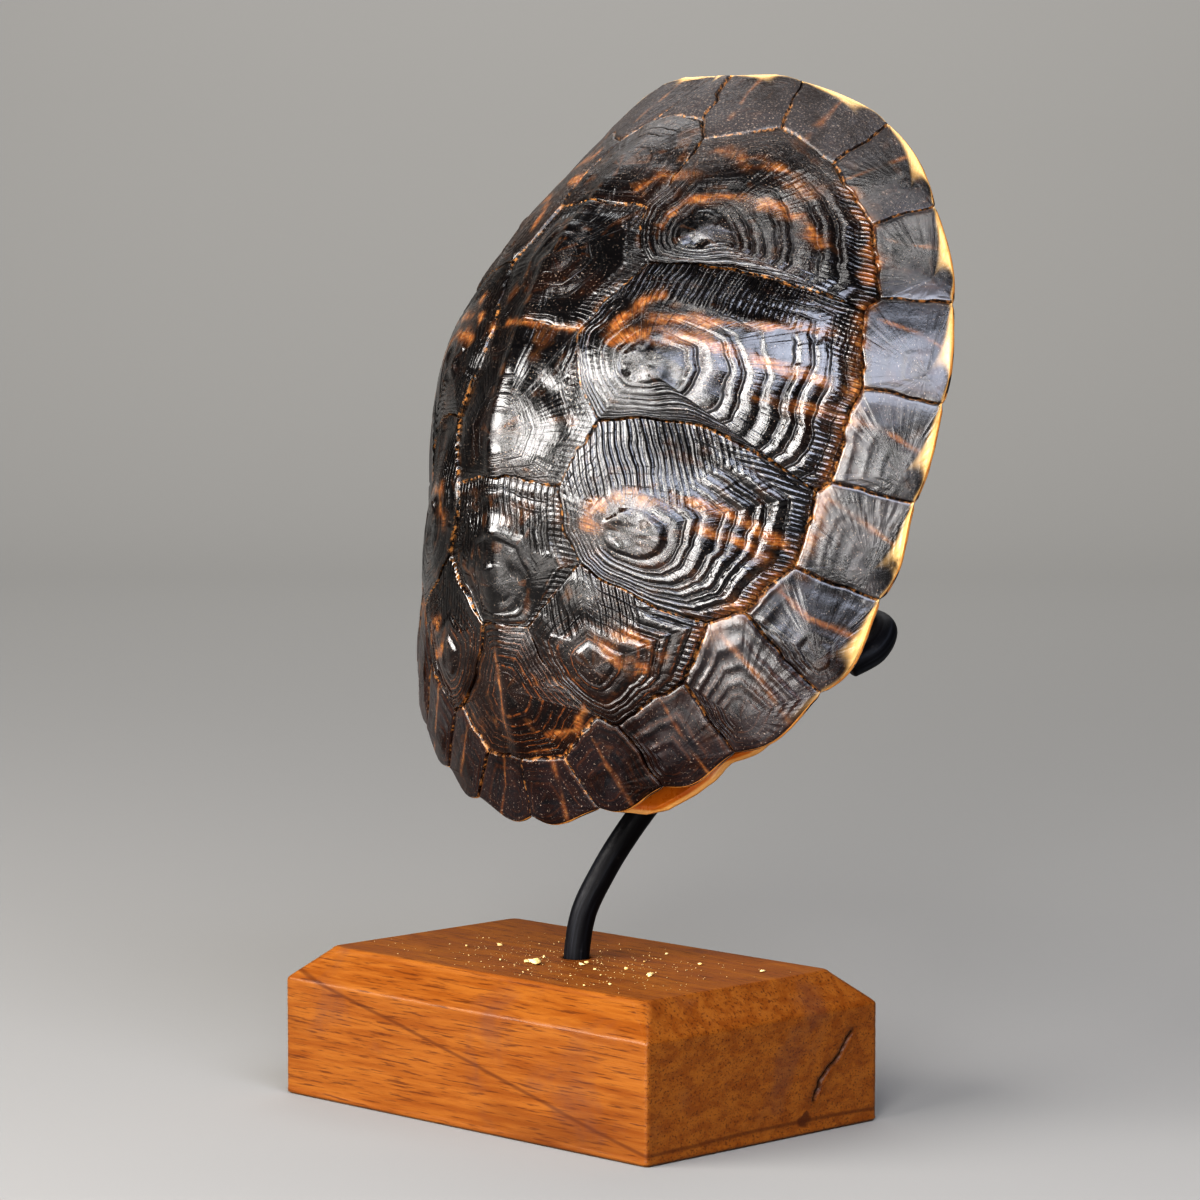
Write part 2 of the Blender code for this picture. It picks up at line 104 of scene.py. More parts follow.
# large plates: corners in order, areola, ring count, ring height, how the comb leans
# and how far out it starts
largePlates = {
    "vertebral_1": (["s0", "s1", "v1Rim", "v1v2"], (0.0, 56.0), 4, 0.2, 0.0, 1.2),
    "vertebral_2": (["v1v2", "v2c1c2", "v2v3"], (0.0, 29.0), 4, 0.24, 0.0, 0.72),
    "vertebral_3": (["v2v3", "v3c2c3", "v3v4"], (0.0, -15.0), 4, 0.06, 0.0, 0.8),
    "vertebral_4": (["v3v4", "v4c3c4", "v4v5"], (0.0, -46.0), 5, 0.42, 0.0, 0.5),
    "vertebral_5": (["v4v5", "v5Rim", "s12", "s13"], (0.0, -66.0), 7, 0.12, 0.0, 1.2),
    "costal_1": (["v1Rim", "s2", "s3", "s4", "s5", "c1c2Rim", "v2c1c2", "v1v2"],
                 (27.0, 40.0), 8, 0.6, 0.0, 1.2),
    "costal_2": (["v2c1c2", "c1c2Rim", "s6", "s7", "c2c3Rim", "v3c2c3", "v2v3"],
                 (28.0, 6.0), 9, 0.72, 0.0, 0.58),
    "costal_3": (["v3c2c3", "c2c3Rim", "s8", "s9", "c3c4Rim", "v4c3c4", "v3v4"],
                 (29.0, -31.0), 8, 0.72, 0.3, 0.36),
    "costal_4": (["v4c3c4", "c3c4Rim", "s10", "s11", "v5Rim", "v4v5"],
                 (21.0, -59.0), 6, 0.75, 0.2, 0.4),
}

# how far some seams bow, forwards or outwards, between two corners
seamBows = {
    ("v2c1c2", "c1c2Rim"): 2.2, ("v3c2c3", "c2c3Rim"): 5.0, ("v4c3c4", "c3c4Rim"): -1.5,
    ("v2v3", "v3c2c3"): -1.6, ("v3v4", "v4c3c4"): -1.2, ("v4v5", "v5Rim"): -2.5,
    ("v1Rim", "v1v2"): 1.4, ("v1v2", "v2c1c2"): -1.2,
}

# amber streaks in the horn of the right half: half width, then plan points
amberStreaks = [
    (1.7, [(19, 41), (20, 47), (24, 51), (30, 52), (37, 52), (43, 49), (47, 45)]),
    (2.0, [(18, 64), (24, 63), (33, 62), (40, 57)]),
    (1.7, [(20, 14), (24, 21), (27, 23)]),
    (1.5, [(27, 17), (35, 19), (45, 21), (56, 24)]),
    (1.9, [(21, 10), (26, 13), (33, 14), (40, 14), (49, 13), (59, 12), (63, 11)]),
    (1.7, [(48, 5), (55, 6), (63, 6)]),
    (1.9, [(22, -30), (24, -25), (31, -21), (38, -20), (43, -20), (48, -22), (54, -24)]),
    (1.8, [(41, -26), (47, -26), (52, -28)]),
    (1.4, [(26, -51), (32, -51), (35, -53)]),
    (1.3, [(23, -53), (26, -57), (31, -57)]),
    (0.9, [(-2, -57), (-2, -66), (-3, -75)]),
    (0.9, [(8, -74), (15, -72), (18, -67)]),
    (1.5, [(18, 55), (11, 55), (8, 50)]),
    (1.3, [(-9, 13), (3, 12), (13, 12)]),
    (1.8, [(45, 61), (52, 53), (57, 44), (60, 33), (63, 15), (60, -8), (56, -26), (49, -38), (41, -48)]),
]


def say(words):
    print("scene:", words, flush=True)


# noise

noiseSize = 32
noiseTable = np.random.default_rng(11).random((noiseSize, noiseSize, noiseSize)) * 2 - 1


# a smooth random field: lattice values blended by 6t^5 - 15t^4 + 10t^3 along each axis
def smoothNoise(points, cell):
    q = np.asarray(points, float) / cell
    base = np.floor(q).astype(int)
    f = q - base
    f = f * f * f * (f * (f * 6 - 15) + 10)
    total = np.zeros(q.shape[:-1])
    for i in (0, 1):
        for j in (0, 1):
            for k in (0, 1):
                value = noiseTable[(base[..., 0] + i) % noiseSize, (base[..., 1] + j) % noiseSize,
                                   (base[..., 2] + k) % noiseSize]
                weight = np.where(i, f[..., 0], 1 - f[..., 0]) * np.where(j, f[..., 1], 1 - f[..., 1])
                total += value * weight * np.where(k, f[..., 2], 1 - f[..., 2])
    return total


# several noises on each other, each half as large and half as strong as the last
def layeredNoise(points, cell, layers):
    total = 0
    for step in range(layers):
        total = total + smoothNoise(np.asarray(points) + 7.7 * step, cell / 2**step) / 2**step
    return total


def smoothStep(low, high, value):
    t = np.clip((value - low) / (high - low), 0, 1)
    return t * t * (3 - 2 * t)


# a smooth curve through given values, from slopes averaged at each of them
def smoothCurve(at, places, values):
    steps = np.diff(places)
    slopes = np.diff(values) / steps
    ends = np.empty_like(values)
    ends[1:-1] = (slopes[:-1] * steps[1:] + slopes[1:] * steps[:-1]) / (steps[1:] + steps[:-1])
    ends[0] = slopes[0]
    ends[-1] = slopes[-1]
    i = np.clip(np.searchsorted(places, at, side="right") - 1, 0, len(places) - 2)
    s = (at - places[i]) / steps[i]
    held = (2 * s**3 - 3 * s**2 + 1) * values[i] + (3 * s**2 - 2 * s**3) * values[i + 1]
    turned = (s**3 - 2 * s**2 + s) * ends[i] + (s**3 - s**2) * ends[i + 1]
    return held + turned * steps[i]


# least distance in plan from points to a line drawn through a few places
def distanceTo(x, y, places):
    best = np.full(np.shape(x), 1e9)
    for (ax, ay), (bx, by) in zip(places[:-1], places[1:]):
        length = (bx - ax) ** 2 + (by - ay) ** 2
        t = np.clip(((x - ax) * (bx - ax) + (y - ay) * (by - ay)) / length, 0, 1)
        best = np.minimum(best, np.hypot(x - ax - t * (bx - ax), y - ay - t * (by - ay)))
    return best


# the dome

def rimTables():
    rim = np.array([row for i, row in enumerate(rimSeams) if i != 1])
    angle = np.arctan2(rim[:, 0], rim[:, 1] - shellForm["centreY"])
    radius = np.hypot(rim[:, 0], rim[:, 1] - shellForm["centreY"])
    places = np.concatenate([-angle[:0:-1], angle, 2 * math.pi - angle[-2::-1]])
    radii = np.concatenate([radius[:0:-1], radius, radius[-2::-1]])
    heights = np.concatenate([rim[:0:-1, 2], rim[:, 2], rim[-2::-1, 2]])
    return places, radii, heights


rimAngles, rimRadii, rimHeights = rimTables()


# radius and height of the rim at an angle from the head
def rimAt(angle):
    angle = np.arctan2(np.sin(angle), np.cos(angle))
    return smoothCurve(angle, rimAngles, rimRadii), smoothCurve(angle, rimAngles, rimHeights)


# z = rim + (top - rim)(1 - out^power - flare out^3 (1 - out)) + a low round keel,
# where out is the share of the way from the middle to the rim
def domeHeight(x, y):
    form = shellForm
    angle = np.arctan2(x, y - form["centreY"])
    radius, rimZ = rimAt(angle)
    out = np.hypot(x, y - form["centreY"]) / radius
    power = (form["fullSide"] * np.sin(angle) ** 2
             + form["fullFront"] * np.clip(np.cos(angle), 0, 1) ** 2
             + form["fullRear"] * np.clip(-np.cos(angle), 0, 1) ** 2)
    rise = 1 - out**power - form["flare"] * out**3 * (1 - out)
    keel = form["keelRise"] * np.exp(-((x / form["keelHalf"]) ** 2)) * np.clip(1 - out**4, 0, 1)
    return rimZ + (form["top"] - rimZ) * rise + keel


# a point of the dome moved by lift along the way the surface faces
def domePoint(x, y, lift):
    step = 0.5
    slopeX = (domeHeight(x + step, y) - domeHeight(x - step, y)) / (2 * step)
    slopeY = (domeHeight(x, y + step) - domeHeight(x, y - step)) / (2 * step)
    size = np.sqrt(slopeX**2 + slopeY**2 + 1)
    return np.stack([x - lift * slopeX / size, y - lift * slopeY / size,
                     domeHeight(x, y) + lift / size], -1)


def toothSize(index):
    form = shellForm
    share = min(1.0, max(0.0, (index - 6) / 3.0))
    return form["toothFront"] + (form["toothRear"] - form["toothFront"]) * share


# outer edge of one rim plate: rim radius + tooth sin(pi share^1.6)^1.2
def rimArc(index, count):
    centreY = shellForm["centreY"]
    start, end = rimSeams[index], rimSeams[index + 1]
    a0 = math.atan2(start[0], start[1] - centreY)
    a1 = math.atan2(end[0], end[1] - centreY)
    share = np.linspace(0, 1, count)
    radius = rimAt(a0 + (a1 - a0) * share)[0]
    radius = radius + toothSize(index) * np.sin(math.pi * share**1.6) ** 1.2
    angle = a0 + (a1 - a0) * share
    return np.stack([radius * np.sin(angle), centreY + radius * np.cos(angle)], -1)


# turns points of the shell's own frame into the frame of the whole object
def toFrame(points):
    turn = np.array(Euler([math.radians(a) for a in shellForm["turn"]]).to_matrix())
    return points @ turn.T + np.array(shellForm["place"])


# meshes

# a surface from rows of points, closed round each row, with a pole at each end
def gridMesh(name, rows, marks, material):
    rowCount, columnCount = rows.shape[:2]
    points = [rows.reshape(-1, 3)]
    values = {key: [value.reshape(-1, 3)] for key, value in marks.items()}
    index = np.arange(rowCount * columnCount).reshape(rowCount, columnCount)
    side = np.roll(index, -1, axis=1)
    quads = np.stack([index[:-1], index[1:], side[1:], side[:-1]], -1).reshape(-1, 4)
    corner = [quads.ravel()]
    starts = [np.arange(len(quads)) * 4]
    count = len(quads) * 4
    for row in (0, rowCount - 1):
        pole = np.full(columnCount, sum(len(part) for part in points))
        points.append(rows[row].mean(axis=0)[None])
        for key, value in marks.items():
            values[key].append(value[row].mean(axis=0)[None])
        fan = [pole, index[0], side[0]] if row == 0 else [pole, side[-1], index[-1]]
        corner.append(np.stack(fan, -1).ravel())
        starts.append(count + np.arange(columnCount) * 3)
        count += columnCount * 3
    points = np.concatenate(points) * mm
    points = np.clip(points, boxLow, boxHigh)              # kept inside the part's own box
    mesh = bpy.data.meshes.new(name)
    mesh.vertices.add(len(points))
    mesh.vertices.foreach_set("co", points.ravel())
    corner = np.concatenate(corner)
    mesh.loops.add(len(corner))
    mesh.loops.foreach_set("vertex_index", corner.astype(np.int32))
    starts = np.concatenate(starts)
    mesh.polygons.add(len(starts))
    mesh.polygons.foreach_set("loop_start", starts.astype(np.int32))
    mesh.polygons.foreach_set("use_smooth", np.ones(len(starts), bool))
    mesh.update(calc_edges=True)
    for key, parts in values.items():
        layer = mesh.attributes.new(key, "FLOAT_VECTOR", "POINT")
        layer.data.foreach_set("vector", np.concatenate(parts).ravel())
    mesh.materials.append(material)
    return mesh


# several meshes as one object that rides on the part's body
def makePiece(name, meshes, replaced=()):
    first = bpy.data.objects.new(name, meshes[0])
    bpy.context.scene.collection.objects.link(first)
    if len(meshes) > 1:
        others = []
        for mesh in meshes[1:]:
            other = bpy.data.objects.new(name + "_part", mesh)
            bpy.context.scene.collection.objects.link(other)
            others.append(other)
        with bpy.context.temp_override(active_object=first, selected_editable_objects=[first] + others,
                                       selected_objects=[first] + others):
            bpy.ops.object.join()
    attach(first, "root")
    for node in replaced:
        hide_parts(node)
    return first


# materials

def addNode(tree, kind, values=None, **settings):
    made = tree.nodes.new(kind)
    for key, value in settings.items():
        setattr(made, key, value)
    for key, value in (values or {}).items():
        if isinstance(value, bpy.types.NodeSocket):
            tree.links.new(value, made.inputs[key])
        else:
            made.inputs[key].default_value = value
    return made


def newMaterial(name):
    material = bpy.data.materials.new(name)
    material.use_nodes = True
    return material, material.node_tree, material.node_tree.nodes["Principled BSDF"]


def noiseValue(tree, vector, scale, detail=4.0, roughness=0.55, twist=0.0):
    made = addNode(tree, "ShaderNodeTexNoise", {"Vector": vector, "Scale": scale, "Detail": detail,
                                                "Roughness": roughness, "Distortion": twist})
    return made.outputs["Fac"]


def stretched(tree, vector, scale, turn=(0, 0, 0)):
    made = addNode(tree, "ShaderNodeMapping", {"Vector": vector, "Scale": scale, "Rotation": turn})
    return made.outputs["Vector"]


def calculate(tree, operation, a, b=0.0, clamp=False):
    made = addNode(tree, "ShaderNodeMath", {0: a, 1: b}, operation=operation, use_clamp=clamp)
    return made.outputs[0]


def times(tree, a, b, clamp=False):
    return calculate(tree, "MULTIPLY", a, b, clamp)


def plus(tree, a, b, clamp=False):
    return calculate(tree, "ADD", a, b, clamp)


def lessThanOne(tree, value):
    return calculate(tree, "SUBTRACT", 1.0, value)


# how far a value is from the nearest whole number
def fromWhole(tree, value):
    return calculate(tree, "PINGPONG", value, 0.5)


def fade(tree, value, low, high, start=0.0, end=1.0):
    made = addNode(tree, "ShaderNodeMapRange", {"Value": value, "From Min": low, "From Max": high,
                                                "To Min": start, "To Max": end},
                   interpolation_type="SMOOTHSTEP")
    return made.outputs["Result"]


def blend(tree, share, a, b, kind="MIX"):
    made = addNode(tree, "ShaderNodeMix", {0: share, 6: a, 7: b}, data_type="RGBA", blend_type=kind)
    return made.outputs[2]


def colourRamp(tree, value, stops):
    made = addNode(tree, "ShaderNodeValToRGB", {"Fac": value})
    ramp = made.color_ramp
    while len(ramp.elements) < len(stops):
        ramp.elements.new(0.5)
    for element, (place, colour) in zip(ramp.elements, stops):
        element.position = place
        element.color = (*colour, 1.0)
    return made.outputs["Color"]


def bump(tree, height, distance, strength=1.0, under=None):
    values = {"Height": height, "Distance": distance, "Strength": strength}
    if under:
        values["Normal"] = under
    return addNode(tree, "ShaderNodeBump", values).outputs["Normal"]


def joinShader(tree, shader, colour, rough, normal):
    for name, value in (("Base Color", colour), ("Roughness", rough), ("Normal", normal)):
        tree.links.new(value, shader.inputs[name])


# the colours of one dictionary with an alpha of 1
def withAlpha(table):
    return {key: (*value, 1.0) for key, value in table.items()}


def attributeParts(tree, name):
    vector = addNode(tree, "ShaderNodeAttribute", attribute_name=name).outputs["Vector"]
    parts = addNode(tree, "ShaderNodeSeparateXYZ", {0: vector})
    return vector, parts.outputs[0], parts.outputs[1], parts.outputs[2]


# horn: near-black brown with amber streaks, fine lines along and across the growth rings
# with painted shade in them, golden flakes in the seams, a pale rim edge, a painted bluish
# sheen on the rim plates, and dirt and dust in the hollows
hornLook = {
    "black": (0.0018, 0.0014, 0.0015),
    "brown": (0.0065, 0.0026, 0.0015),
    "amber": (0.13, 0.042, 0.01),
    "gold": (0.27, 0.125, 0.037),
    "cream": (0.6, 0.38, 0.15),
    "dust": (0.2, 0.155, 0.12),
    "grime": (0.009, 0.0055, 0.004),
    # a painted sheen: the bluish tint of a cool light on the rim plates
    "paintedSheenLilac": (0.03, 0.027, 0.036),
    "redStreak": (0.024, 0.0075, 0.003),
    "brownLine": (0.02, 0.009, 0.005),
    "tail": (0.01, 0.0028, 0.0012),
}
hornFinish = {
    "roughness": (0.12, 0.2),        # where it is smoothest and where it is dullest
    "gloss": (0.17, 0.6),            # at the tail and higher up
    "tailTop": 0.122,                # metres over the floor below which the horn turns red-brown and takes amber loops
    "dustScale": 2400.0,
    "ridgeRelief": 0.0009,           # metres
}


def hornMaterial(name, rimShare):
    look, finish = withAlpha(hornLook), hornFinish
    material, tree, shader = newMaterial(name)
    spot = addNode(tree, "ShaderNodeTexCoord").outputs["Object"]
    grain, ring = attributeParts(tree, "grain")[:2]               # ring number, mm around, plate
    _, amber, seam, relief = attributeParts(tree, "marks")        # amber share, mm to seam, lift
    cream = attributeParts(tree, "edge")[1]                       # pale share at the free edge
    _, combPlace, combShare, dull = attributeParts(tree, "comb")
    _, crossPlace, crossShare, bare = attributeParts(tree, "cross")
    height = addNode(tree, "ShaderNodeSeparateXYZ", {0: spot}).outputs[2]
    combGap, crossGap = fromWhole(tree, combPlace), fromWhole(tree, crossPlace)
    radial = noiseValue(tree, stretched(tree, grain, (0.3, 1.5, 5.0)), 1.0, 3.0, 0.6)
    along = noiseValue(tree, stretched(tree, grain, (4.5, 0.09, 3.0)), 1.0, 3.0, 0.65, 0.3)
    cloud = noiseValue(tree, spot, 60.0, 5.0, 0.6, 0.6)
    fine = noiseValue(tree, spot, 900.0, 4.0, 0.6)
    speck = noiseValue(tree, spot, finish["dustScale"], 2.0, 0.5)
    # thin lines cut along the combs, the cross lines and the rings, with painted shade in them
    cutLinesAndShade = calculate(tree, "MAXIMUM", times(tree, fade(tree, combGap, 0.2, 0.03), combShare),
                    times(tree, fade(tree, crossGap, 0.16, 0.02), crossShare))
    ringCut = fade(tree, fromWhole(tree, ring), 0.1, 0.02)
    ringCut = times(tree, ringCut, fade(tree, cloud, 0.42, 0.55, 0.0, 0.9))
    cutLinesAndShade = calculate(tree, "MAXIMUM", cutLinesAndShade, times(tree, ringCut, bare))
    # near-black, brown in clouds and where it is dull, redder in streaks along the rings
    brownShare = calculate(tree, "MAXIMUM", fade(tree, cloud, 0.5, 0.72), times(tree, dull, 0.8))
    base = blend(tree, brownShare, look["black"], look["brown"])
    redShare = times(tree, fade(tree, along, 0.5, 0.72), fade(tree, cloud, 0.4, 0.65, 0.0, 0.5))
    base = blend(tree, redShare, base, look["redStreak"])
    base = blend(tree, fade(tree, radial, 0.6, 0.8, 0.0, 0.2), base, look["brownLine"])
    # the horn turns red-brown below tailTop, by height over the floor
    tailTop = finish["tailTop"]
    tailShare = fade(tree, height, tailTop, tailTop - 0.022, 0.0, 0.8)
    base = blend(tree, times(tree, tailShare, fade(tree, along, 0.35, 0.6)), base, look["tail"])
    # thin amber loops along the growth rings of the plates near the tail
    loops = fade(tree, fromWhole(tree, plus(tree, ring, 0.3)), 0.13, 0.03)
    loops = times(tree, loops, fade(tree, height, tailTop, tailTop - 0.016))
    loops = times(tree, loops, fade(tree, cloud, 0.4, 0.52, 0.1, 0.15 if rimShare else 0.7))
    base = blend(tree, times(tree, loops, fade(tree, fine, 0.35, 0.6)), base, look["amber"])
    # amber streaks, the pale rim edge, painted shade in the cuts, gold flakes in the seams and a painted
    # bluish sheen on the rim
    streak = times(tree, amber, fade(tree, radial, 0.3, 0.58, 0.3, 1.0 - 3.0 * rimShare), True)
    streakColour = blend(tree, fade(tree, fine, 0.4, 0.75), look["amber"], look["gold"])
    base = blend(tree, streak, base, streakColour)
    creamShare = times(tree, cream, fade(tree, cloud, 0.25, 0.45))
    base = blend(tree, creamShare, base, look["cream"])
    # painted shade: the colour in the cut lines is darkened towards black
    base = blend(tree, times(tree, cutLinesAndShade, 0.75), base, look["black"])
    seamLine = times(tree, fade(tree, seam, 0.55, 0.15), fade(tree, fine, 0.47, 0.62))
    seamLine = times(tree, seamLine, fade(tree, cloud, 0.38, 0.54))
    base = blend(tree, seamLine, base, look["gold"])
    # a painted sheen: the rim plates are tinted bluish in clouds
    if rimShare:
        paintedSheen = times(tree, fade(tree, cloud, 0.35, 0.6), rimShare)
        base = blend(tree, paintedSheen, base, look["paintedSheenLilac"])
    # dirt in the hollows, and pale specks of dust
    dirt = times(tree, fade(tree, relief, 0.0, -0.6), fade(tree, fine, 0.4, 0.65, 0.1, 0.5))
    base = blend(tree, dirt, base, look["grime"])
    speckLow = fade(tree, dull, 0.0, 1.0, 0.645, 0.565)
    specks = addNode(tree, "ShaderNodeMapRange", {"Value": speck, "From Min": speckLow, "From Max": 0.72,
                                                  "To Min": 0.0, "To Max": 0.7}).outputs["Result"]
    specks = times(tree, specks, fade(tree, cloud, 0.35, 0.6, 0.25, 1.0))
    base = blend(tree, specks, base, look["dust"])
    smooth, worn = finish["roughness"]
    rough = fade(tree, cloud if rimShare else along, 0.35, 0.7, smooth + rimShare, worn + rimShare)
    rough = plus(tree, rough, times(tree, dull, 0.2))
    rough = plus(tree, rough, times(tree, cutLinesAndShade, 0.25))
    rough = plus(tree, rough, times(tree, dirt, 0.35), True)
    # the combs' and cross lines' own slopes, finer than the mesh can hold
    ridges = plus(tree, times(tree, combGap, combShare), times(tree, crossGap, crossShare))
    normal = bump(tree, ridges, finish["ridgeRelief"], 1.0)
    normal = bump(tree, lessThanOne(tree, cutLinesAndShade), 0.00012, 0.8, normal)
    normal = bump(tree, along, 0.00009 - 0.0007 * rimShare, 0.8, normal)
    normal = bump(tree, radial, 0.00006, 0.8, normal)
    grit = plus(tree, times(tree, dull, 0.0003), 0.00007)
    normal = bump(tree, fine, grit, 0.7, normal)
    joinShader(tree, shader, base, rough, normal)
    # gloss is lost in the cuts, in the dirt and in worn patches
    gloss = lessThanOne(tree, times(tree, cutLinesAndShade, 0.9))
    gloss = times(tree, gloss, lessThanOne(tree, dirt))
    gloss = times(tree, gloss, fade(tree, cloud, 0.3, 0.55, 0.62, 1.0))
    gloss = times(tree, gloss, fade(tree, height, 0.085, 0.12, *finish["gloss"]))
    tree.links.new(gloss, shader.inputs["Specular IOR Level"])
    shader.inputs["IOR"].default_value = 1.54
    return material


# seams and plates

def mirrored(place):
    return (-place[0], place[1])


# a seam between two corners: a straight line bowed by 4t(1-t) and made to wander
# by noise, drawn the same way for both plates that share it
def seamCurve(start, end, bow):
    low, high = sorted((start, end), key=lambda p: (round(p[1], 3), round(p[0], 3)))
    low, high = np.array(low), np.array(high)
    length = np.hypot(*(high - low))
    share = np.linspace(0, 1, max(6, int(length * 2)))
    line = low + (high - low) * share[:, None]
    across = np.array([-(high - low)[1], (high - low)[0]]) / length
    if across[1] < 0 and abs(across[1]) > 0.5:
        across = -across                     # a bow forwards
    elif abs(across[1]) <= 0.5 and across[0] * (low[0] + high[0]) < 0:
        across = -across                     # a bow outwards
    spot = np.column_stack([line, np.full(len(line), 3.0)])
    wander = 0.55 * smoothNoise(spot, 4.0) + 0.22 * smoothNoise(spot + 31, 1.6)
    hold = np.sin(math.pi * share) ** 0.6
    line = line + across * (bow * 4 * share * (1 - share) + wander * hold)[:, None]
    return line if np.allclose(low, start) else line[::-1]


def bowBetween(first, second):
    return seamBows.get((first, second), seamBows.get((second, first), 0.0))


# a closed line walked in even steps, with how far along the new and the old points are
def evenWalk(points, count):
    ring = np.concatenate([points, points[:1]])
    along = np.concatenate([[0], np.cumsum(np.hypot(*np.diff(ring, axis=0).T))])
    even = np.linspace(0, along[-1], count + 1)[:-1]
    return np.column_stack([np.interp(even, along, ring[:, i]) for i in (0, 1)]), even, along


# joins lines into one closed outline of evenly spaced points, with 1 where it is a free edge
def closedOutline(lines, count):
    points = np.concatenate([line[:-1] for line, _ in lines])
    free = np.concatenate([np.full(len(line) - 1, float(isFree)) for line, isFree in lines])
    outline, even, along = evenWalk(points, count)
    return outline, np.interp(even, along, np.append(free, free[0])), even


def turnedRight(outline):
    x, y = outline.T
    return np.sum(x * np.roll(y, -1) - y * np.roll(x, -1)) < 0


plateLook = {
    "columns": 480,
    "rimColumns": 170,
    "combPitch": 1.45,
    "crossPitch": 1.2,
    "combHeight": 0.52,
    "wrinkleHeight": 0.05,
    "areolaLumps": 1.6,
    "grooveReach": 0.45,
    "underside": -1.5,
    "areolaShare": 0.24,         # share of the way out that the raised centre takes
    "rimAreolaShare": 0.2,
    "swellHeight": 0.24,
    "keelDrop": 0.55,            # how far a back plate falls beside the keel
    "grooveFloor": -0.35,
    "lineSharpness": 0.9,
    "ringSharpness": 0.8,
    "paleWidth": (0.5, 1.5),     # of the pale free edge, and how much wider it gets
}
# what differs between the costal, vertebral and rim plates: rings outwards, ahead, behind
# and inwards, their roundness, cross lines and where they start, the step round the
# centre, small lumps, amber mottle, combs and how many rows of points a plate has
kindLook = {
    "costal": {"rings": (1.0, 0.08, 0.45, 0.3), "round": 0.5, "cross": 0.8, "crossStart": 0.86,
               "step": 0.34, "lumps": 0.12, "mottle": 0.12, "comb": 1.0, "rows": 88},
    "vertebral": {"rings": (0.5, 1.0, 0.3, 0.0), "round": 0.75, "cross": 0.45, "crossStart": 0.78,
                  "step": 0.12, "lumps": 0.34, "mottle": 0.2, "comb": 0.75, "rows": 74},
    "rim": {"rings": (0.0, 0.4, 0.0, 1.0), "round": 0.45, "cross": 0.0, "crossStart": 1.0,
            "step": 0.06, "lumps": 0.16, "mottle": 0.1, "comb": 0.0, "rows": 40},
}


# amber near any drawn streak, exp(-(distance / half width)^2), broken up by noise
def amberShare(x, y, spot, extraAmber):
    amber = np.zeros_like(y)
    wide = 0.75 + 0.5 * smoothNoise(spot + 15, 4.0) + 0.3 * smoothNoise(spot + 16, 1.5)
    for half, places in list(amberStreaks) + list(extraAmber):
        amber = np.maximum(amber, np.exp(-(distanceTo(x, y, places) / (half * wide)) ** 2))
    return np.clip(amber * (0.65 + 0.9 * smoothNoise(spot + 5, 2.6)), 0, 1)


# a pale free edge exp(-(gap / width)^2), widest a little ahead of its middle and gone at the tail
def paleEdge(freeArc, arc, freeGap, flank, y):
    low, high = freeArc.min(), freeArc.max()
    place = (arc - low) / max(high - low, 1.0)
    place = place if flank > 0 else 1 - place
    narrow, more = plateLook["paleWidth"]
    width = narrow + more * np.exp(-(((place - 0.45) / 0.2) ** 2))
    return np.exp(-((freeGap / width) ** 2)) * smoothStep(-62, -40, y)


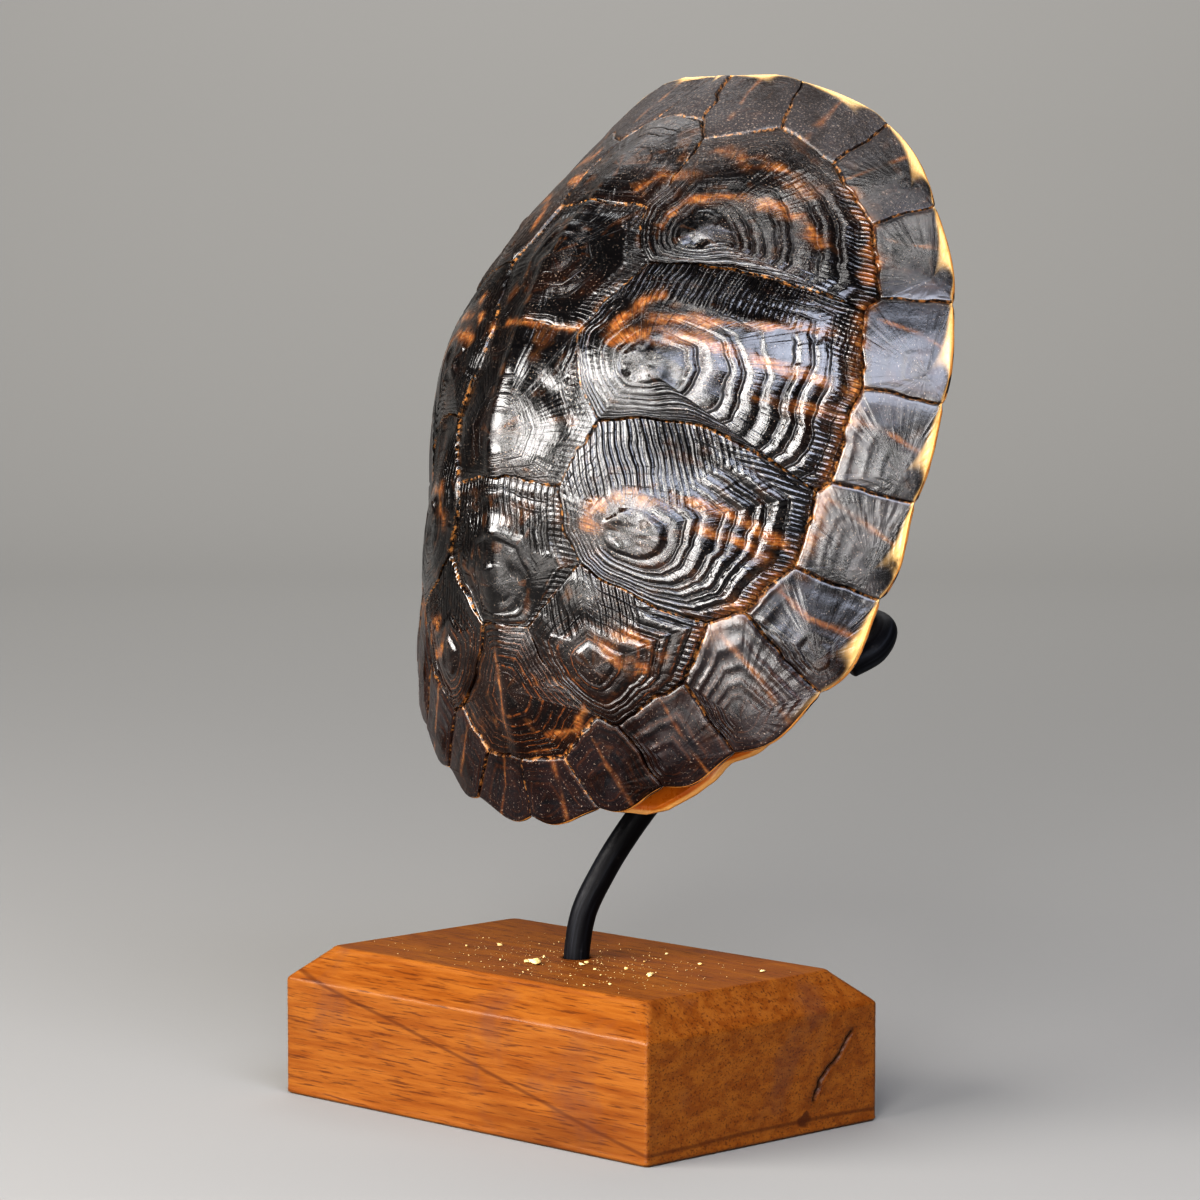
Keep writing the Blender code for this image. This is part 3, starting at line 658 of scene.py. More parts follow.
# one horn plate: lift = shoulder + doming (1-u)^0.7 + rounded growth rings sin(pi part)^0.8
# + combs of fine ridges square to the front seam + cross lines square to the side seam
# + a lumpy raised centre, falling into a narrow groove at a seam. u runs from the centre
# out to the edge. Rings on a rim plate are narrow bumps exp(-((part - 0.5) / 0.2)^2)
def hornPlate(name, centre, outline, free, around, rings, ringHeight, seedNumber, rowCount, material,
              lean, rise, kind, combStart=1.2, extraAmber=()):
    form, look, own = shellForm, plateLook, kindLook[kind]
    areolaShare = look["rimAreolaShare"] if kind == "rim" else look["areolaShare"]
    if not turnedRight(outline):
        outline, free, around = outline[::-1], free[::-1], around[-1] - around[::-1]
    centre = np.array(centre, float)
    flank = -1.0 if centre[0] < -1 else 1.0
    arm = outline - centre
    reach = np.hypot(*arm.T)
    tangent = np.roll(outline, -1, axis=0) - np.roll(outline, 1, axis=0)
    tangent /= np.hypot(*tangent.T)[:, None] + 1e-9
    facing = np.abs(arm[:, 0] * tangent[:, 1] - arm[:, 1] * tangent[:, 0])    # mm to the seam, square on
    for _ in range(6):
        facing = (np.roll(facing, 1) + facing + np.roll(facing, -1)) / 3
    u = np.linspace(0.03, 0.978, rowCount - 6) ** 0.85
    u = np.concatenate([u, [0.984, 0.989, 0.993, 0.9965, 0.9985, 1.0]])[:, None]
    roundness = own["round"] * (1 - u) ** 0.9            # rings are rounder near the centre
    direction = arm / reach[:, None]
    radial = u * (reach[None] * (1 - roundness) + reach.mean() * roundness)
    plan = centre + direction[None] * radial[..., None]
    x, y = plan[..., 0], plan[..., 1]
    seam = (1 - u) * facing[None]
    spot = np.stack([x, y, np.full_like(x, seedNumber * 9.3)], -1)
    random = np.random.default_rng(seedNumber)
    across = direction[:, 0] * flank if kind != "vertebral" else np.abs(direction[:, 0])
    outwards = smoothStep(0.25, 0.85, across)[None]
    inwards = smoothStep(0.25, 0.85, -across)[None]
    ahead = smoothStep(0.25, 0.8, direction[:, 1])[None]
    behind = smoothStep(0.25, 0.8, -direction[:, 1])[None]
    widths = 0.55 + 1.1 * random.random(rings)
    knots = areolaShare + (1.0 - areolaShare) * np.concatenate([[0], np.cumsum(widths)]) / widths.sum()
    warped = u + 0.03 * smoothNoise(spot, 9.0) + 0.008 * smoothNoise(spot, 2.4)
    number = np.interp(warped, knots, np.arange(rings + 1.0))
    part = number - np.floor(np.minimum(number, rings - 1e-6))
    tall = 0.35 + 0.65 * random.random(rings + 1)[np.clip(number.astype(int), 0, rings)]
    patch = np.clip(0.85 + 0.6 * layeredNoise(spot + 50, 12.0, 2), 0.15, 1.5)
    weights = own["rings"]
    share = weights[0] * outwards + weights[1] * ahead + weights[2] * behind + weights[3] * inwards
    isRing = smoothStep(areolaShare * 0.9, areolaShare * 1.1, warped)
    bowed = x * flank * (1 + 0.2 * (x / 60) ** 2) + lean * (y - centre[1])
    combPlace = bowed / look["combPitch"] + 0.5 * smoothNoise(spot, 6.5) + 0.16 * smoothNoise(spot + 3, 2.2)
    comb = 1 - np.abs(np.sin(math.pi * combPlace)) ** look["lineSharpness"]
    comb = comb * (0.45 + 0.75 * random.random(240)[np.clip((combPlace + 120.5).astype(int), 0, 239)])
    start = combStart + 0.4 * (1 - ahead)
    combPatch = smoothStep(-0.65, 0.1, smoothNoise(spot + 90, 9.0))
    combShare = ahead * smoothStep(start, start + 0.1, u) * combPatch * own["comb"]
    crossPlace = y / look["crossPitch"] + 0.5 * smoothNoise(spot + 30, 5.0)
    cross = 1 - np.abs(np.sin(math.pi * crossPlace)) ** look["lineSharpness"]
    crossStart = own["crossStart"] + 0.05 * smoothNoise(spot + 12, 6.0)
    crossShare = smoothStep(crossStart, crossStart + 0.07, u) * own["cross"]
    crossShare = smoothStep(0.45, 0.8, across)[None] * crossShare
    calm = min(1.0, 0.25 + ringHeight * 2.5)             # plates with low rings are smoother all over
    if kind == "vertebral":
        crossShare = crossShare * (combStart < 1) * (calm - 0.25) / 0.75
        combShare = combShare * calm
    combLift = -look["combHeight"] * (comb * combShare + 0.6 * cross * crossShare)
    strength = ringHeight * np.clip(share, 0, 1) * tall * patch * isRing
    strength = strength * (1 - 0.8 * combShare) * (1 - 0.5 * crossShare)
    if kind == "rim":
        wave = np.exp(-(((part - 0.5) / 0.2) ** 2))
    else:
        wave = np.sin(math.pi * np.clip(part, 0, 1)) ** look["ringSharpness"]
    ringLift = strength * (wave - 0.5)
    arc = np.broadcast_to(around[None], x.shape)
    fineArc = np.stack([arc, number * 0.7, np.full_like(x, seedNumber * 3.1)], -1)
    wrinkles = look["wrinkleHeight"] * smoothNoise(fineArc, 0.8) * smoothStep(0.3, 0.8, u)
    rough = warped + 0.05 * smoothNoise(spot + 26, 5.0)
    centreMask = 1 - smoothStep(areolaShare * 0.85, areolaShare * 1.15, rough)
    lumps = look["areolaLumps"] * smoothNoise(spot + 20, 3.6) + 0.4 * layeredNoise(spot + 60, 1.9, 2)
    lumps = (lumps + 1.0) * own["step"] * centreMask * calm
    swell = look["swellHeight"] * smoothNoise(spot + 70, 12.0)
    swell = swell + calm * own["lumps"] * smoothNoise(spot + 80, 4.5)
    if kind == "vertebral":                              # a keel with a clear edge
        swell = swell - look["keelDrop"] * smoothStep(0.3, 4.5, np.abs(x)) * smoothStep(60, 48, y)
    doming = form["shoulder"] + (rise - form["shoulder"]) * (1 - u) ** 0.7
    height = doming + ringLift + combLift + wrinkles + lumps + swell
    inward = smoothStep(0, look["grooveReach"], seam)
    isFree = free[None]
    floor = (look["grooveFloor"] - 0.3 * smoothNoise(spot + 95, 7.0)) * (1 - isFree)
    lift = floor + (height - floor) * inward ** 0.6
    top = domePoint(x, y, lift)
    lowU = np.array([0.985, 0.9, 0.6, 0.2])[:, None]
    lowPlan = centre + direction[None] * (lowU * reach[None])[..., None]
    low = domePoint(lowPlan[..., 0], lowPlan[..., 1], np.full(lowPlan.shape[:2], look["underside"]))
    rows = toFrame(np.concatenate([top, low]))
    amber = amberShare(x * flank, y, spot, extraAmber)
    drawn = layeredNoise(np.stack([number * 2.2, arc * 0.3, spot[..., 2]], -1), 1.6, 2)
    amber = np.maximum(amber, smoothStep(0.35, 0.95, drawn) * own["mottle"])
    freeGap = np.where(isFree > 0.5, seam, 20.0)          # 20 mm stands for far away
    seamGap = np.where(isFree > 0.5, 20.0, seam)
    cream = paleEdge(around[free > 0.5], arc, freeGap, flank, y) if kind == "rim" else np.zeros_like(x)
    # dull and dusty towards the head and the left flank
    dull = smoothStep(-0.35, 0.45, 0.5 * smoothNoise(spot + 41, 14.0) + (y - 45) / 50 - x / 90)

    def padded(a, b, c):
        field = np.stack([np.broadcast_to(v, x.shape) for v in (a, b, c)], -1)
        return np.concatenate([field] + [field[-1:]] * 4)

    bare = isRing * np.clip(share + combShare, 0.35, 1) * (kind != "rim")
    marks = {
        "grain": padded(number, arc, np.full_like(x, float(seedNumber))),
        "marks": padded(amber, seamGap, lift),
        "edge": padded(cream, cream, cream),
        "comb": padded(combPlace, combShare, dull),
        "cross": padded(crossPlace, crossShare, bare),
    }
    return gridMesh(name, rows, marks, material)


# a large plate's corner, on the left half where its name starts with a minus sign
def cornerAt(name, flipped):
    place = corners[name.lstrip("-")]
    return mirrored(place) if name.startswith("-") != flipped else place


def largePlateLines(names, flipped):
    lines = []
    for first, second in zip(names, names[1:] + names[:1]):
        bow = bowBetween(first.lstrip("-"), second.lstrip("-"))
        lines.append((seamCurve(cornerAt(first, flipped), cornerAt(second, flipped), bow), False))
    return lines


def makeLargePlates(material):
    seedNumber = 1
    for name, (names, areola, rings, height, lean, combStart) in largePlates.items():
        kind, sides = name.split("_")[0], ("_right", "_left")
        if kind == "vertebral":
            names = names + ["-" + n for n in reversed(names) if corners[n][0] > 0]
            sides = ("",)
        for side in sides:
            flipped = side == "_left"
            centre = mirrored(areola) if flipped else areola
            lines = largePlateLines(names, flipped)
            outline, free, around = closedOutline(lines, plateLook["columns"])
            mesh = hornPlate(name, centre, outline, free, around, rings, height, seedNumber,
                             kindLook[kind]["rows"], material, lean, shellForm["areolaRise"], kind, combStart)
            makePiece(name + side, [mesh])
            seedNumber += 1


rimRingHeights = [0, 0.4, 0.1, 0.05, 0.05, 0.06, 0.1, 0.12, 0.3, 0.8, 0.4, 0.12, 0.08]
rimRingCounts = [0, 6, 3, 3, 3, 3, 3, 4, 4, 5, 3, 3, 3]
rimExtras = {1: "v1Rim", 5: "c1c2Rim", 7: "c2c3Rim", 9: "c3c4Rim", 11: "v5Rim"}


# outline of a rim plate: toothed free edge, then seams back along its inner side
def rimPlateLines(index, flipped):
    arc = rimArc(index, 60)
    inner = [innerSeams[index + 1]]
    if index in rimExtras:
        inner.append(corners[rimExtras[index]])
    inner.append(innerSeams[index])
    chain = [rimSeams[index + 1][:2]] + inner + [rimSeams[index][:2]]
    if flipped:
        arc = arc * np.array([-1, 1])
        chain = [mirrored(p) for p in chain]
    lines = [(arc, True)]
    for start, end in zip(chain[:-1], chain[1:]):
        lines.append((seamCurve(start, end, 0.0), False))
    return lines


# an amber vein from the middle of the plate's free side to the front of its inner side
def rimVein(index, seedNumber):
    random = np.random.default_rng(seedNumber)
    arc = rimArc(index, 40)
    start = arc[16 + int(random.integers(0, 6))]
    front, rear = np.array(innerSeams[index]), np.array(innerSeams[index + 1])
    end = front + (rear - front) * random.uniform(0.15, 0.5)
    middle = (start + end) / 2 + random.normal(0, 0.8, 2)
    return (0.4 + 0.35 * random.random(), [tuple(start), tuple(middle), tuple(end)])


def makeRimPlates(material):
    groups = {"front": range(1, 5), "middle": range(5, 9), "rear": range(9, 13)}
    seedNumber = 40
    for side in ("right", "left"):
        flipped = side == "left"
        for part, indices in groups.items():
            meshes = []
            for index in indices:
                lines = rimPlateLines(index, flipped)
                outline, free, around = closedOutline(lines, plateLook["rimColumns"])
                rear = np.array(rimSeams[index + 1][:2])
                middle = outline.mean(axis=0) * np.array([-1 if flipped else 1, 1])
                centre = middle + (rear - middle) * 0.52
                if flipped:
                    centre = centre * np.array([-1, 1])
                vein = rimVein(index, seedNumber)
                meshes.append(hornPlate("rim", centre, outline, free, around, rimRingCounts[index],
                                        rimRingHeights[index], seedNumber, kindLook["rim"]["rows"], material,
                                        0.0, 0.7, "rim", 1.2, [vein]))
                seedNumber += 1
            makePiece("rim_plates_%s_%s" % (part, side), meshes)
    right, left = rimSeams[1][:2], mirrored(rimSeams[1][:2])
    chain = [right, innerSeams[1], innerSeams[0], mirrored(innerSeams[1]), left]
    edge = np.array([left, rimSeams[0][:2], right])
    lines = [(edge, True)] + [(seamCurve(a, b, 0.0), False) for a, b in zip(chain[:-1], chain[1:])]
    outline, free, around = closedOutline(lines, 120)
    mesh = hornPlate("nuchal_plate", (0.0, 82.0), outline, free, around, 3, 0.15, 70, 30, material,
                     0.0, 0.6, "rim")
    makePiece("nuchal_plate", [mesh])


# body of the shell under the plates

bodyLook = {
    "columns": 1000,
    "under": -1.15,          # how deep it lies under the plates
    "edgeRows": [(0.97, -0.9), (0.985, -0.5), (0.995, -0.12), (1.0, -0.05)],
    "lip": [(1.0, -0.55), (0.997, -1.1), (0.99, -1.5)],
    "underside": [(0.985, -1.62), (0.93, -1.5), (0.9, -0.4), (0.87, 0.8), (0.85, 2.6), (0.83, 5.0)],
    "ribHeight": 0.9,
    "ribPitch": 14.5,
    "spineHeight": 2.6,
    "spineHalf": 3.0,
}


# the rim's whole edge in plan as one closed loop, and the mm to the nearest plate seam
def rimLoop(count):
    pieces = []
    for index in range(1, len(rimSeams) - 1):
        pieces.append(rimArc(index, 200)[:-1])
    right = np.concatenate([[rimSeams[0][:2]], *pieces, [rimSeams[-1][:2]]])
    loop, even, _ = evenWalk(np.concatenate([right, (right * [-1, 1])[::-1][1:-1]]), count)
    gap = np.full(count, 99.0)
    for seam in rimSeams[1:]:
        for sign in (1, -1):
            gap = np.minimum(gap, np.hypot(loop[:, 0] - sign * seam[0], loop[:, 1] - seam[1]))
    return loop, even, gap


# outer side at a fixed depth under the plates, over the rim's edge, along its
# underside and back through the inside of the dome, with ribs and spine as ridges
def makeBody(material):
    look, form = bodyLook, shellForm
    loop, along, gap = rimLoop(look["columns"])
    centre = np.array([0.0, form["centreY"]])
    edgeZ = domeHeight(loop[:, 0], loop[:, 1])
    notch = np.exp(-((gap / 0.9) ** 2))
    rows, share = [], []
    outer = np.concatenate([[0.02], np.linspace(0.08, 0.94, 16)])
    for out in outer:
        plan = centre + (loop - centre) * out
        rows.append(domePoint(plan[:, 0], plan[:, 1], np.full(len(plan), look["under"])))
        share.append(0.0)
    for out, lift in look["edgeRows"]:
        plan = centre + (loop - centre) * out
        rows.append(domePoint(plan[:, 0], plan[:, 1], lift - form["seamDepth"] * notch))
        share.append(1.0)
    sheet = np.array(look["lip"] + look["underside"])
    places = np.arange(len(sheet), dtype=float)
    fine = np.linspace(0, len(sheet) - 1, 34)
    outs = smoothCurve(fine, places, sheet[:, 0])
    rises = smoothCurve(fine, places, sheet[:, 1])
    for out, rise in zip(outs, rises):
        plan = centre + (loop - centre) * out
        spot = np.column_stack([plan, np.full(len(plan), 4.0)])
        groove = 0.7 * notch * smoothStep(0.86, 0.9, out)
        chips = 0.16 * smoothNoise(spot, 2.5) + 0.3 * smoothNoise(spot, 9.0) * smoothStep(0.99, 0.95, out)
        rows.append(np.column_stack([plan, edgeZ + rise + groove + chips]))
        share.append(2.0)
    for out in np.linspace(0.8, 0.03, 30):
        plan = centre + (loop - centre) * out
        x, y = plan[:, 0], plan[:, 1]
        spot = np.column_stack([x, y, np.full(len(x), 8.0)])
        rib = np.abs(((y + 4 * np.abs(x) / 60 + 62) / look["ribPitch"]) % 1 - 0.5) * 2
        ribs = look["ribHeight"] * smoothStep(0.5, 0.9, rib) * smoothStep(4, 9, np.abs(x))
        spine = look["spineHeight"] * np.exp(-((x / look["spineHalf"]) ** 2)) * smoothStep(0.82, 0.7, out)
        depth = form["wall"] + ribs * smoothStep(0.8, 0.7, out) + spine + 0.25 * smoothNoise(spot, 5.0)
        rows.append(domePoint(x, y, -depth))
        share.append(3.0)
    rows = np.array(rows)
    share = np.array(share)[:, None] * np.ones(len(loop))
    arc = np.broadcast_to(along, share.shape)
    gaps = np.broadcast_to(gap, share.shape)
    marks = {"zone": np.stack([share, arc, gaps], -1)}
    mesh = gridMesh("shell_body", toFrame(rows), marks, material)
    return makePiece("shell_body", [mesh], ["shell"])


boneLook = {
    "bone": (0.5, 0.38, 0.24),
    "stain": (0.2, 0.11, 0.055),
    "yellow": (0.42, 0.2, 0.05),
    "orange": (0.34, 0.13, 0.025),
    "black": (0.008, 0.005, 0.004),
}


# rim underside of yellow horn with black blotches, and dry pale bone inside the dome
def bodyMaterial():
    look = withAlpha(boneLook)
    material, tree, shader = newMaterial("rim horn and bone")
    spot = addNode(tree, "ShaderNodeTexCoord").outputs["Object"]
    zone, part, _, gap = attributeParts(tree, "zone")             # zone, mm along, mm to a seam
    cloud = noiseValue(tree, spot, 70.0, 5.0, 0.6, 0.8)
    small = noiseValue(tree, spot, 420.0, 5.0, 0.65)
    blotch = noiseValue(tree, stretched(tree, zone, (0.5, 0.1, 0.0)), 1.0, 4.0, 0.6, 0.8)
    bone = blend(tree, fade(tree, cloud, 0.4, 0.62), look["bone"], look["stain"])
    bone = blend(tree, fade(tree, small, 0.6, 0.75, 0.0, 0.5), bone, look["stain"])
    nearSeam = fade(tree, gap, 9.0, 1.0, -0.08, 0.05)
    blotchShare = fade(tree, plus(tree, blotch, nearSeam), 0.5, 0.56)
    horn = blend(tree, fade(tree, small, 0.35, 0.7), look["yellow"], look["orange"])
    blotchShare = times(tree, blotchShare, fade(tree, part, 1.1, 1.6))
    horn = blend(tree, blotchShare, horn, look["black"])
    underPlates = fade(tree, part, 0.9, 1.0)
    inside = fade(tree, part, 2.2, 2.9)
    colour = blend(tree, underPlates, look["black"], horn)
    colour = blend(tree, inside, colour, bone)
    joinShader(tree, shader, colour, fade(tree, inside, 0.0, 1.0, 0.32, 0.75), bump(tree, small, 0.0003, 0.6))
    return material


# lower shell

lowerForm = {
    "z": -20.0,
    "wall": 3.2,
    "front": [(83.0, 14.0), (81.0, 24.0), (74.0, 32.0), (64.0, 38.0), (50.0, 42.5), (42.0, 44.0)],
    "bridgeFront": 37.0,
    "bridgeBack": -33.0,
    "sections": 9,
    "reach": 0.9,
    "start": 43.0,
    "bendStart": 38.7,
    "bendPower": 1.3,
    "endRise": 3.0,
    "notch": 0.72,
    "hind": [(-39.0, 46.5), (-44.0, 46.0), (-49.0, 44.2), (-54.4, 41.5), (-59.4, 37.2), (-63.3, 32.4),
             (-65.9, 25.6), (-70.2, 22.6), (-73.9, 18.0), (-78.0, 11.0), (-79.6, 5.0)],
    "crossSeams": (58.0, 30.0, 2.0, -28.0, -56.0),
    "seamDepth": 0.45,
    "ringHeight": 0.1,
    "edgeRound": 1.3,
    "rows": 230,
    "columns": 150,
}


def rimBeside(y):
    centreY = shellForm["centreY"]
    across = 74.0
    for _ in range(6):
        radius, height = rimAt(np.array([math.atan2(across, y - centreY)]))
        across = math.sqrt(float(radius[0]) ** 2 - (y - centreY) ** 2)
    return across, float(height[0])


def lowerSections():
    form = lowerForm
    sections = [(y, w, 0.0) for y, w in form["front"]]
    last = form["sections"] - 1
    for i in range(form["sections"]):
        y = form["bridgeFront"] + (form["bridgeBack"] - form["bridgeFront"]) * i / last
        across, height = rimBeside(y)
        full = 1.0 if 0 < i < last else form["notch"]
        reach = form["start"] + (across * form["reach"] - form["start"]) * full
        sections.append((y, reach, (height + form["endRise"] - form["z"]) * full**1.5))
    return np.array(sections + [(y, w, 0.0) for y, w in form["hind"]])


# cross sections along the shell: flat in the middle, curving up by
# rise * bend^1.3 at the bridges, as one closed tube of an outer and an inner side
def makeLowerShell(material):
    form = lowerForm
    sections = lowerSections()
    places = np.arange(len(sections), dtype=float)
    fine = np.linspace(0, len(sections) - 1, form["rows"])
    y, reach, rise = (np.interp(fine, places, sections[:, i]) for i in range(3))
    for _ in range(3):
        reach[1:-1] = (reach[:-2] + reach[1:-1] * 2 + reach[2:]) / 4
        rise[1:-1] = (rise[:-2] + rise[1:-1] * 2 + rise[2:]) / 4
    share = np.linspace(-1, 1, form["columns"])[None]
    x = reach[:, None] * share
    yy = np.broadcast_to(y[:, None], x.shape)
    bend = (np.abs(x) - form["bendStart"]) / np.maximum(reach[:, None] - form["bendStart"], 1.0)
    z = form["z"] + rise[:, None] * np.clip(bend, 0, 1) ** form["bendPower"]
    spot = np.stack([x, yy, np.full_like(x, 2.0)], -1)
    gap = np.abs(x + 0.8 * smoothNoise(spot, 9.0))
    for place in form["crossSeams"]:
        curve = place - 3.0 * (np.abs(x) / 45) ** 2 + 0.8 * smoothNoise(spot + 9, 7.0)
        gap = np.minimum(gap, np.abs(yy - curve))
    groove = form["seamDepth"] * np.exp(-((gap / 0.7) ** 2))
    rings = form["ringHeight"] * np.sin(gap * 2.6 + smoothNoise(spot, 6.0))
    rings = rings * smoothStep(0.6, 3.0, gap) * smoothStep(16, 8, gap)
    edge = (1 - np.abs(share)) * reach[:, None]
    edge = np.minimum(edge, np.minimum(np.abs(yy - y[0]), np.abs(yy - y[-1])) * 1.2)
    rounding = form["edgeRound"] * (1 - smoothStep(0, 2.4, edge))
    outer = np.stack([x, yy, z + groove + rings + rounding + 0.12 * smoothNoise(spot, 3.0)], -1)
    inner = np.stack([x, yy, z + form["wall"] - 0.9 * rounding + 0.2 * smoothNoise(spot + 40, 4.0)], -1)
    rows = np.concatenate([outer, inner[:, ::-1]], axis=1)
    edges = np.concatenate([edge, edge[:, ::-1]], axis=1)
    gaps = np.concatenate([gap, np.full_like(gap, 30.0)], axis=1)
    inside = np.concatenate([np.zeros_like(gap), np.ones_like(gap)], axis=1)
    marks = {"zone": np.stack([gaps, edges, inside], -1)}
    mesh = gridMesh("lower_shell", toFrame(rows), marks, material)
    return makePiece("lower_shell", [mesh])


lowerLook = {
    "deep": (0.1, 0.03, 0.008),
    "orange": (0.4, 0.1, 0.008),
    "amber": (0.52, 0.16, 0.012),
    "light": (0.62, 0.25, 0.03),
    "blotch": (0.03, 0.012, 0.006),
    "seam": (0.03, 0.014, 0.008),
    "edge": (0.8, 0.5, 0.18),
    "bone": (0.5, 0.38, 0.24),
    "stain": (0.3, 0.19, 0.1),
}


# glossy amber-orange horn with dark blotches and a pale line along its edge
def lowerMaterial():
    look = withAlpha(lowerLook)
    material, tree, shader = newMaterial("amber lower shell")
    spot = addNode(tree, "ShaderNodeTexCoord").outputs["Object"]
    _, gap, edge, inside = attributeParts(tree, "zone")           # mm to a seam, mm to the edge, inner side
    cloud = noiseValue(tree, spot, 55.0, 5.0, 0.62, 1.0)
    small = noiseValue(tree, spot, 330.0, 5.0, 0.6)
    colour = colourRamp(tree, cloud, [(0.26, lowerLook["deep"]), (0.36, lowerLook["orange"]),
                                      (0.55, lowerLook["amber"]), (0.75, lowerLook["light"])])
    patch = times(tree, fade(tree, small, 0.45, 0.6, 0.4, 1.0), fade(tree, gap, 16.0, 5.0))
    patch = times(tree, patch, fade(tree, cloud, 0.54, 0.6))
    colour = blend(tree, times(tree, patch, 0.85), colour, look["blotch"])
    colour = blend(tree, fade(tree, gap, 0.9, 0.2, 0.0, 0.85), colour, look["seam"])
    colour = blend(tree, fade(tree, edge, 1.3, 0.7, 0.0, 0.6), colour, look["edge"])
    bone = blend(tree, fade(tree, small, 0.4, 0.6), look["bone"], look["stain"])
    boneShare = times(tree, inside, fade(tree, edge, 8.0, 10.0))
    colour = blend(tree, boneShare, colour, bone)
    joinShader(tree, shader, colour, fade(tree, small, 0.3, 0.7, 0.24, 0.42), bump(tree, small, 0.00015, 0.5))
    return material


# rod

rodForm = {
    "diameter": 6.0,
    "foot": [(0.0, 0.0, 13.4), (0.0, 0.0, 24.0), (0.0, 0.0, 37.0), (0.8, 1.2, 45.0), (3.9, 4.7, 55.0)],
    "behind": [(-2.4, -79.0, -24.2), (8.0, -64.0, -23.7), (20.0, -49.0, -23.7), (33.0, -37.0, -23.7),
               (45.0, -31.0, -23.4), (54.0, -29.5, -21.5), (60.3, -32.6, -18.3), (61.8, -38.2, -14.6),
               (58.6, -43.0, -11.0)],
    "points": 420,
    "sides": 32,
    "endRound": 0.7,
}


# a circle carried along the smooth route, its frame turned on as little as it can be
def makeRod(material):
    form = rodForm
    route = np.concatenate([np.array(form["foot"]), toFrame(np.array(form["behind"]))])
    along = np.concatenate([[0], np.cumsum(np.linalg.norm(np.diff(route, axis=0), axis=1))])
    fine = np.linspace(0, along[-1], 4000)
    line = np.column_stack([smoothCurve(fine, along, route[:, i]) for i in range(3)])
    done = np.concatenate([[0], np.cumsum(np.linalg.norm(np.diff(line, axis=0), axis=1))])
    tip = form["endRound"]
    body = np.linspace(tip, done[-1] - tip, form["points"])[1:-1]
    even = np.concatenate([np.linspace(0, tip, 6), body, np.linspace(done[-1] - tip, done[-1], 6)])
    path = np.column_stack([np.interp(even, done, line[:, i]) for i in range(3)])
    tangent = np.gradient(path, axis=0)
    tangent /= np.linalg.norm(tangent, axis=1)[:, None]
    normals = [np.array([1.0, 0, 0])]
    for t in tangent[1:]:
        n = normals[-1] - t * np.dot(normals[-1], t)
        normals.append(n / np.linalg.norm(n))
    normals = np.array(normals)
    across = np.cross(tangent, normals)
    angle = np.linspace(0, 2 * math.pi, form["sides"] + 1)[:-1]
    gap = np.minimum(even, done[-1] - even)
    radius = form["diameter"] / 2 - (tip - np.minimum(gap, tip)) ** 2 / tip * 0.8
    c, s = np.cos(angle)[None, :, None], np.sin(angle)[None, :, None]
    ring = normals[:, None] * c + across[:, None] * s
    rows = path[:, None] + ring * radius[:, None, None]
    rows = rows[:, ::-1]
    marks = {"zone": np.stack([np.broadcast_to(even[:, None], rows.shape[:2]),
                               np.broadcast_to(angle[None], rows.shape[:2]),
                               np.zeros(rows.shape[:2])], -1)}
    mesh = gridMesh("bent_rod", rows, marks, material)
    return makePiece("bent_rod", [mesh], ["rod"])


rodLook = {
    "black": (0.004, 0.004, 0.005),
    "grey": (0.012, 0.013, 0.016),
    "worn": (0.03, 0.027, 0.025),
}


# satin black oxide on steel, with faint greyer streaks drawn along the rod
def rodMaterial():
    look = withAlpha(rodLook)
    material, tree, shader = newMaterial("blackened steel")
    spot = addNode(tree, "ShaderNodeTexCoord").outputs["Object"]
    zone = attributeParts(tree, "zone")[0]
    drawn = noiseValue(tree, stretched(tree, zone, (0.05, 3.0, 1.0)), 1.0, 4.0, 0.6)
    spots = noiseValue(tree, spot, 500.0, 4.0, 0.6)
    colour = blend(tree, fade(tree, drawn, 0.45, 0.7), look["black"], look["grey"])
    colour = blend(tree, fade(tree, spots, 0.62, 0.75, 0.0, 0.4), colour, look["worn"])
    shader.inputs["Specular IOR Level"].default_value = 0.09
    joinShader(tree, shader, colour, fade(tree, spots, 0.3, 0.7, 0.36, 0.5), bump(tree, spots, 0.00008, 0.5))
    return material


# block

blockForm = {
    "length": 120.0,
    "width": 75.0,
    "height": 35.0,
    "inset": 8.0,
    "drop": 7.5,
    "corner": 1.0,
    "holeRadius": 3.3,
    "holeDepth": 22.0,
    "columns": 640,
    "sideRows": 50,
    "crack": [(28.8, 21.5), (26.5, 18.9), (24.6, 16.4), (23.5, 15.8), (20.8, 13.9), (18.5, 11.4),
              (16.5, 7.6)],
    "stain": (13.0, 3.6),        # small dark blot under the crack, y and z
    "stainHalf": 2.4,
    "crackHalf": 0.42,
    "crackDepth": 1.3,
}


# a rounded rectangle in plan, evenly walked
def roundedRectangle(halfX, halfY, corner, count):
    arcs = []
    for number, (sx, sy) in enumerate([(1, 1), (-1, 1), (-1, -1), (1, -1)]):
        angle = np.linspace(0, math.pi / 2, 9) + number * math.pi / 2
        arcs.append(np.column_stack([sx * (halfX - corner) + corner * np.cos(angle),
                                     sy * (halfY - corner) + corner * np.sin(angle)]))
    return evenWalk(np.concatenate(arcs), count)[0]


